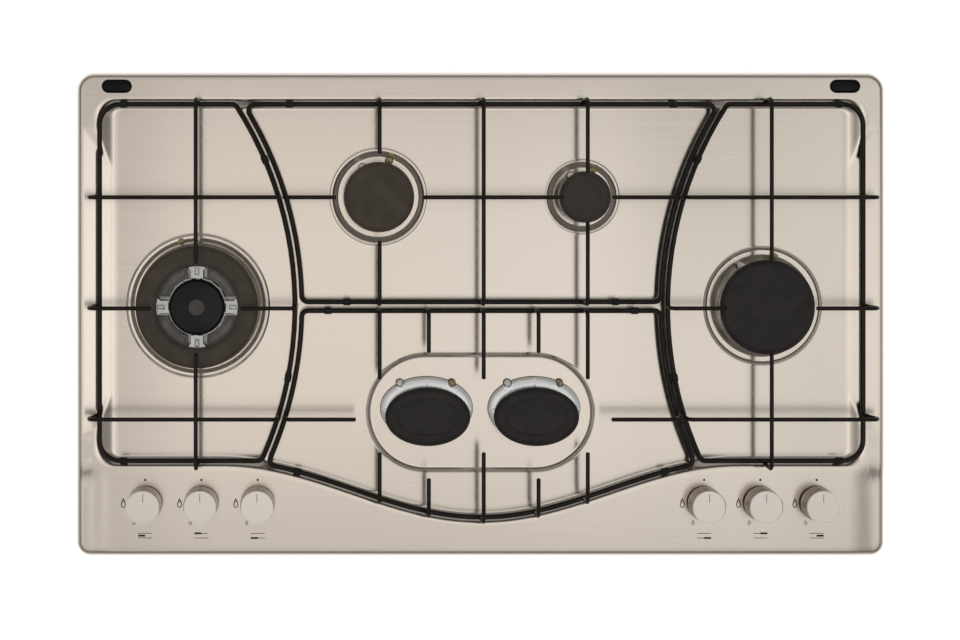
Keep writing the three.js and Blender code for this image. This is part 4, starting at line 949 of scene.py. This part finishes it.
def footPiece(x, y, direction, surface):
    along = Vector((*direction, 0)).normalized()
    across = Vector((0, 0, 1)).cross(along)
    middle = Vector((x, y, grate["frame"]))
    half = grate["footLength"] / 2
    ends = ((half, 0.82), (half - 0.5, 0.95), (half - 1.2, 1.0))
    places = [(-d, share) for d, share in ends] + list(ends[::-1])
    path = [middle + along * d for d, _ in places]
    sleeve = wires("foot", [(path, False, [share for _, share in places])], grate["foot"], 16)
    outline = roundRectangle(0, 0, half - 0.4, grate["footHalf"], 1, 3)
    low = surface + 0.3
    rings = []
    for share, z in ((0.8, low), (0.95, low + 0.4), (1.0, low + 1.0), (1.15, grate["frame"] - 1)):
        lift = Vector((0, 0, z - grate["frame"]))
        wide = min(share, 1)
        rings.append([tuple(middle + along * p.x * wide + across * p.y * share + lift) for p in outline])
    return [sleeve, loft("foot", rings)]


def wallHeight(inset, run):
    return panel["rim"] - (panel["rim"] - panel["floor"]) * ease((inset - grate["foot"]) / run)


def makeGrate(name, frameCorners, fingers, feet, mirrored=False):
    flip = -1 if mirrored else 1

    def rods(kind, runs, radius, sides):
        placed = [([Vector((flip * p.x, p.y, p.z)) for p in path], closed, shares)
                  for path, closed, shares in runs]
        return wires(kind, placed, radius, sides)

    frameRods = rods("frame", [(roundPath(frameCorners, 8), True, None)], grate["rod"], 14)
    piece = merged(f"grate_{name}_wire", [frameRods, rods("fingers", fingers, grate["finger"], 12)])
    dress(piece, enamel, f"support_{name}", [f"grate_{name}"], 50)
    pieces = []
    for x, y, direction, surface in feet:
        pieces += footPiece(flip * x, y, (flip * direction[0], direction[1]), surface)
    pads = merged(f"grate_{name}_feet", pieces)
    dress(pads, rubber, f"support_{name}", [f"grate_{name}"], 50)


backWall = wallHeight(panel["basinBack"] - grate["backY"], panel["backRun"])
reach, end, inner = grate["sideReach"], grate["endReach"], grate["innerReach"]


def sideGrate(name, mirrored):
    z, arc, side = grate["frame"], grate["sideArc"], grate["sideX"]
    front, back, mid, footX = grate["frontY"], grate["backY"], grate["midRow"], grate["sideFeetX"]
    x, y, tip = (roundBurners[0][key] for key in ("x", "y", "tip"))
    corners = [(-side, front, z, grate["corner"]), (arcX(front, arc), front, z, grate["inner"]),
               *arcCorners(arc, front, back, 22), (arcX(back, arc), back, z, grate["inner"]),
               (-side, back, z, grate["corner"])]
    fingers = [fingerRun((-side, row), (arcX(row, arc), row), reach, inner)
               for row in (grate["backRow"], grate["frontRow"])]
    fingers += [
        fingerRun((-side, mid), (x - tip, mid), reach, None),
        fingerRun((x + tip, mid), (arcX(mid, arc), mid), None, inner),
        fingerRun((x, back), (x, y + tip), end, None),
        fingerRun((x, y - tip), (x, front), None, end),
    ]
    frontWall = wallHeight(front - panel["basinFront"], panel["frontRun"])
    feet = [(footX, back, (1, 0), backWall), (footX, front, (1, 0), frontWall)]
    for y in grate["arcFeetY"]:
        x = arcX(y, arc)
        feet.append((x, y, (y - grate["arcY"], -x - grate["arcX"]), panel["floor"]))
    makeGrate(name, corners, fingers, feet, mirrored)


def centreFrame(back, front, steps, curve=()):  # the left side, the front and the right side
    z, arc, corner = grate["frame"], grate["centreArc"], grate["inner"]
    left = [(arcX(back, arc), back, z, corner), *arcCorners(arc, back, front, steps),
            (arcX(front, arc), front, z, corner)]
    return left + [(x, y, z, 0) for x, y in curve] + [(-x, *rest) for x, *rest in left[::-1]]


def backGrate():
    back, front, row = grate["backY"], grate["backFront"], grate["backRow"]
    frameX = arcX(row, grate["centreArc"])
    semi, aux = roundBurners[1], roundBurners[2]
    fingers = [fingerRun((0, back), (0, front), end, inner)]
    for each in (semi, aux):
        fingers.append(fingerRun((each["x"], back), (each["x"], row + each["tip"]), end, None))
        fingers.append(fingerRun((each["x"], row - each["tip"]), (each["x"], front), None, inner))
    fingers += [
        fingerRun((frameX, row), (semi["x"] - semi["tip"], row), inner, None),
        fingerRun((semi["x"] + semi["tip"], row), (aux["x"] - aux["tip"], row), None, None),
        fingerRun((aux["x"] + aux["tip"], row), (-frameX, row), None, inner),
    ]
    backX, frontX = grate["backFeetX"]
    feet = []
    for side in (-1, 1):
        feet += [(side * backX, back, (1, 0), backWall), (side * frontX, front, (1, 0), panel["floor"])]
    makeGrate("back", centreFrame(back, front, 18), fingers, feet)


def frontGrate():
    arc, inset, back, row = grate["centreArc"], grate["smileInset"], grate["frontBack"], grate["frontRow"]
    cornerX, cornerY = arcX(grate["frontY"], arc), grate["frontY"]
    for _ in range(4):
        cornerY = smilePoint(cornerX, inset)[1]
        cornerX = arcX(cornerY, arc)
    curve = [smilePoint(cornerX * (1 - 2 * k / 48), inset) for k in range(1, 48)]

    def curveY(x):
        place = x
        for _ in range(5):
            place += x - smilePoint(place, inset)[0]
        return smilePoint(place, inset)[1]

    fingers = []
    for x, near, far in grate["frontBars"]:
        fingers.append(fingerRun((x, back), (x, near), inner, None))
        fingers.append(fingerRun((x, far), (x, curveY(x)), None, inner))
    frameX = arcX(row, arc)
    fingers += [fingerRun((frameX, row), (-grate["rowTip"], row), inner, None),
                fingerRun((grate["rowTip"], row), (-frameX, row), None, inner)]
    backX, frontX = grate["frontFeetX"]
    ahead, here = smilePoint(frontX + 1, inset), smilePoint(frontX, inset)
    slope = (ahead[0] - here[0], ahead[1] - here[1])
    frontWall = wallHeight(inset, panel["frontRun"])
    feet = []
    for side in (-1, 1):
        feet += [(side * backX, back, (1, 0), panel["floor"]),
                 (side * frontX, curveY(frontX), (slope[0], side * slope[1]), frontWall)]
    makeGrate("front", centreFrame(back, cornerY, 16, curve), fingers, feet)


sideGrate("left", False)
sideGrate("right", True)
backGrate()
frontGrate()
print("grates done")


# Knobs
def makeKnob(x, name):
    radius, top, low = knobs["radius"], knobs["top"], knobs["low"]
    edge, skirt = radius - knobs["taper"], radius - 2.2
    profile = soften([
        (0, low + 1.5, 0), (skirt, low + 1.5, 0.4), (skirt, low, 0.3), (radius, low, 0.5),
        (radius - 0.1, low + 3.2, 0), (edge, top - 0.9, 0.4), (edge - 0.9, top, 0.5), (edge - 2.0, top, 0),
        (0, top, 0),
    ])
    piece = turned(f"knob_{name}_shell", profile, x, knobs["y"])
    piece.data.materials.clear()
    piece.data.materials.append(knobMetal)
    half, long = knobs["lineWide"] / 2, knobs["lineLong"] / 2
    middle = knobs["y"] + radius - knobs["edge"] - knobs["lineBack"] - long
    line = prism("cut", roundRectangle(x, middle, half, long, 0.4, 4), top - knobs["lineDeep"], top + 1)
    line.data.materials.append(pointerInk)
    carve(piece, line)
    # Faces on the knob's side take the darker copy of the metal: painted shade on the side
    piece.data.materials.append(knobShadedSide)
    for face in piece.data.polygons:
        if abs(face.normal.z) < 0.5 and face.center.z * 1000 - worktop < top - 1:
            face.material_index = len(piece.data.materials) - 1
    dress(piece, None, f"control_{name}", [f"knob_{name}"])


for x, name in zip(knobs["x"], knobs["names"]):
    makeKnob(x, name)
print("knobs done")


# Printed signs on the control panel
marks = {
    "line": 0.5, "thin": 0.7, "high": 0.06, "dot": 1.25, "dotY": 24.7,
    "bigFlame": (-23.5, 0, 4.4, 9.6), "bigShares": (1.5, 1.5, 1, 1, 1, 1, 1, 1, 1.5),
    "smallFlame": (-11.9, -20.9, 2.6, 4.6), "mapY": -237.7, "mapRow": 2.5, "mapHalf": 7.5,
    "bar": (3.8, 1), "barX": 3.7,
    # each burner's row on its map, and its side
    "map": {"wok": (0, -1), "semi": (1, -1), "fish_left": (-1, -1), "fish_right": (-1, 1), "aux": (1, 1),
            "rapid": (0, 1)},
}


def makeMarks():
    level, mapY, y = panel["rim"], marks["mapY"], knobs["y"]
    low, high = level - 0.1, level + marks["high"]
    dots, lines, bars = [], [], []
    for x, name in zip(knobs["x"], knobs["names"]):
        dots.append(peg("mark", marks["dot"], low, high, x, y + marks["dotY"], 24))
        for kind, shares in (("bigFlame", marks["bigShares"]), ("smallFlame", [marks["thin"]] * 9)):
            right, ahead, width, height = marks[kind]
            lines.append((flame(x + right, y + ahead, width, height), True, shares))
        for offset in (-marks["mapRow"], marks["mapRow"]):
            ends = [Vector((x + side * marks["mapHalf"], mapY + offset, level)) for side in (-1, 1)]
            lines.append((ends, False, [marks["thin"]] * 2))
        row, side = marks["map"][name]
        outline = rectangle(x + side * marks["barX"], mapY + row * marks["mapRow"], *marks["bar"])
        bars.append(prism("mark", outline, low, high))
    drawn = wires("mark", lines, marks["line"], 8)
    pressed = {"value": (1, 1, 0.2), "center_override": (0, 0, (level + worktop) * 0.001)}
    editAll(drawn, lambda: bpy.ops.transform.resize(**pressed))
    drawn.name = drawn.data.name = "printed_lines"
    dress(drawn, lineInk, "hob")
    dress(merged("printed_signs", dots + bars), printInk, "hob")


def flame(x, y, width, height):
    shape = [(0, 0.5), (0.22, 0.2), (0.5, -0.12), (0.42, -0.38), (0.14, -0.5), (-0.14, -0.5),
             (-0.42, -0.38), (-0.5, -0.12), (-0.22, 0.2)]
    return [Vector((x + px * width, y + py * height, panel["rim"])) for px, py in shape]


makeMarks()
print("signs done")


# Carried-over nodes
carried = {
    "base_pan": zinc, "gas_rail": zinc, "rim_seal": foamRubber, "ignition_module": casePlastic,
    **{name: alloy for name in nodes if name.startswith(("burner_cup_", "tap_"))},
    **{name: brass for name in nodes if name.startswith("spindle_")},
}
for name, material in carried.items():
    for slot in nodes[name].material_slots:
        slot.material = material
print("carried-over nodes dressed")


# Floor, light and camera
studio = {
    "floor": 14, "floorGlow": 0.76,
    # height of a direction and the grey level of the sky there
    "sky": ((0, 0.8), (0.05, 0.75), (0.12, 0.5), (0.2, 0.44), (0.5, 0.4), (0.6, 0.1), (0.74, 0.12),
            (0.84, 0.4), (0.93, 0.85), (0.98, 0.45), (1, 0.32)),
    # name, place, size, glow, tint and the point that the lamp faces
    "lamps": (
        ("overhead left", (-0.6, -0.12, 2.6), (1.4, 1.24), 0.36, (1.0, 0.975, 0.95), (-0.6, -0.12, 0)),
        ("overhead right", (0.76, -0.17, 2.6), (1.32, 1.14), 0.36, (0.96, 0.99, 1.02),
         (0.76, -0.17, 0)),
        ("overhead middle", (0.03, -0.16, 2.5), (1.24, 1.12), 0.4, (1.0, 0.98, 0.96),
         (0.03, -0.16, 0)),
        ("overhead front right", (0.84, -0.42, 2.55), (0.32, 0.6), 0.27, (1.0, 0.99, 0.98),
         (0.84, -0.42, 0)),
        ("side left", (-2.1, -0.3, 1.9), (1.0, 1.8), 0.2122, (1.0, 0.99, 0.97), (0, 0, 0)),
        ("side right", (2.1, -0.3, 1.9), (1.0, 1.8), 0.3183, (0.98, 0.99, 1.0), (0, 0, 0)),
    ),
}


def makeFloor():
    bpy.ops.object.select_all(action="DESELECT")
    bpy.ops.mesh.primitive_plane_add(size=studio["floor"], location=(0, 0, 0))
    floor = bpy.context.object
    floor.name = "studio_floor"
    material, tree, shader, _ = newMaterial("white studio floor", Roughness=0.9)
    shader.inputs["Base Color"].default_value = colour("#e6e6e6")
    shader.inputs["Emission Color"].default_value = (1, 1, 1, 1)
    rays = addNode(tree, "ShaderNodeLightPath").outputs
    seen = rays["Is Camera Ray"]
    for kind in ("Is Glossy Ray", "Is Transmission Ray"):
        seen = addNode(tree, "ShaderNodeMath", {0: seen, 1: rays[kind]}, operation="ADD").outputs[0]
    glow = addNode(tree, "ShaderNodeMath", {0: seen, 1: studio["floorGlow"]}, operation="MULTIPLY")
    tree.links.new(glow.outputs[0], shader.inputs["Emission Strength"])
    floor.data.materials.append(material)


def addSoftbox(name, place, size, glow, tint, aim):
    lamp = bpy.data.lights.new(name, "AREA")
    lamp.shape = "RECTANGLE"
    lamp.size, lamp.size_y = size
    lamp.energy = glow * math.pi * size[0] * size[1]
    lamp.color = tint
    box = bpy.data.objects.new(name, lamp)
    box.location = place
    box.rotation_euler = (Vector(aim) - Vector(place)).to_track_quat("-Z", "Y").to_euler()
    bpy.context.collection.objects.link(box)


def makeWorld():
    world = bpy.data.worlds.new("soft studio")
    bpy.context.scene.world = world
    world.use_nodes = True
    tree = world.node_tree
    tree.nodes.clear()
    direction = addNode(tree, "ShaderNodeTexCoord").outputs["Generated"]
    height = addNode(tree, "ShaderNodeSeparateXYZ", {0: direction}).outputs["Z"]
    ramp = addNode(tree, "ShaderNodeValToRGB", {"Fac": height})
    stops = ramp.color_ramp.elements
    for number, (position, level) in enumerate(studio["sky"]):
        stop = stops[0] if number == 0 else stops[-1] if position == 1 else stops.new(position)
        stop.position, stop.color = position, (level, level, level, 1)
    background = addNode(tree, "ShaderNodeBackground", {"Color": ramp.outputs[0], "Strength": 1.0})
    addNode(tree, "ShaderNodeOutputWorld", {"Surface": background.outputs[0]})


view = {"distance": 1.78, "window": 1.038, "centre": (0.0, -0.0067), "shift": (0.17, -0.15)}


def makeCamera():
    lens = bpy.data.cameras.new("camera")
    camera = bpy.data.objects.new("camera", lens)
    bpy.context.collection.objects.link(camera)
    lens.sensor_width = 36
    lens.lens = 36 * view["distance"] / view["window"]
    lens.shift_x, lens.shift_y = view["shift"]
    x, y = (view["centre"][k] - view["shift"][k] * view["window"] for k in range(2))
    camera.location = (x, y, worktop * 0.001 + view["distance"])
    bpy.context.scene.camera = camera


makeFloor()
makeWorld()
for lamp in studio["lamps"]:
    addSoftbox(*lamp)
makeCamera()
bpy.context.scene.view_settings.view_transform = "Standard"
print("studio ready")
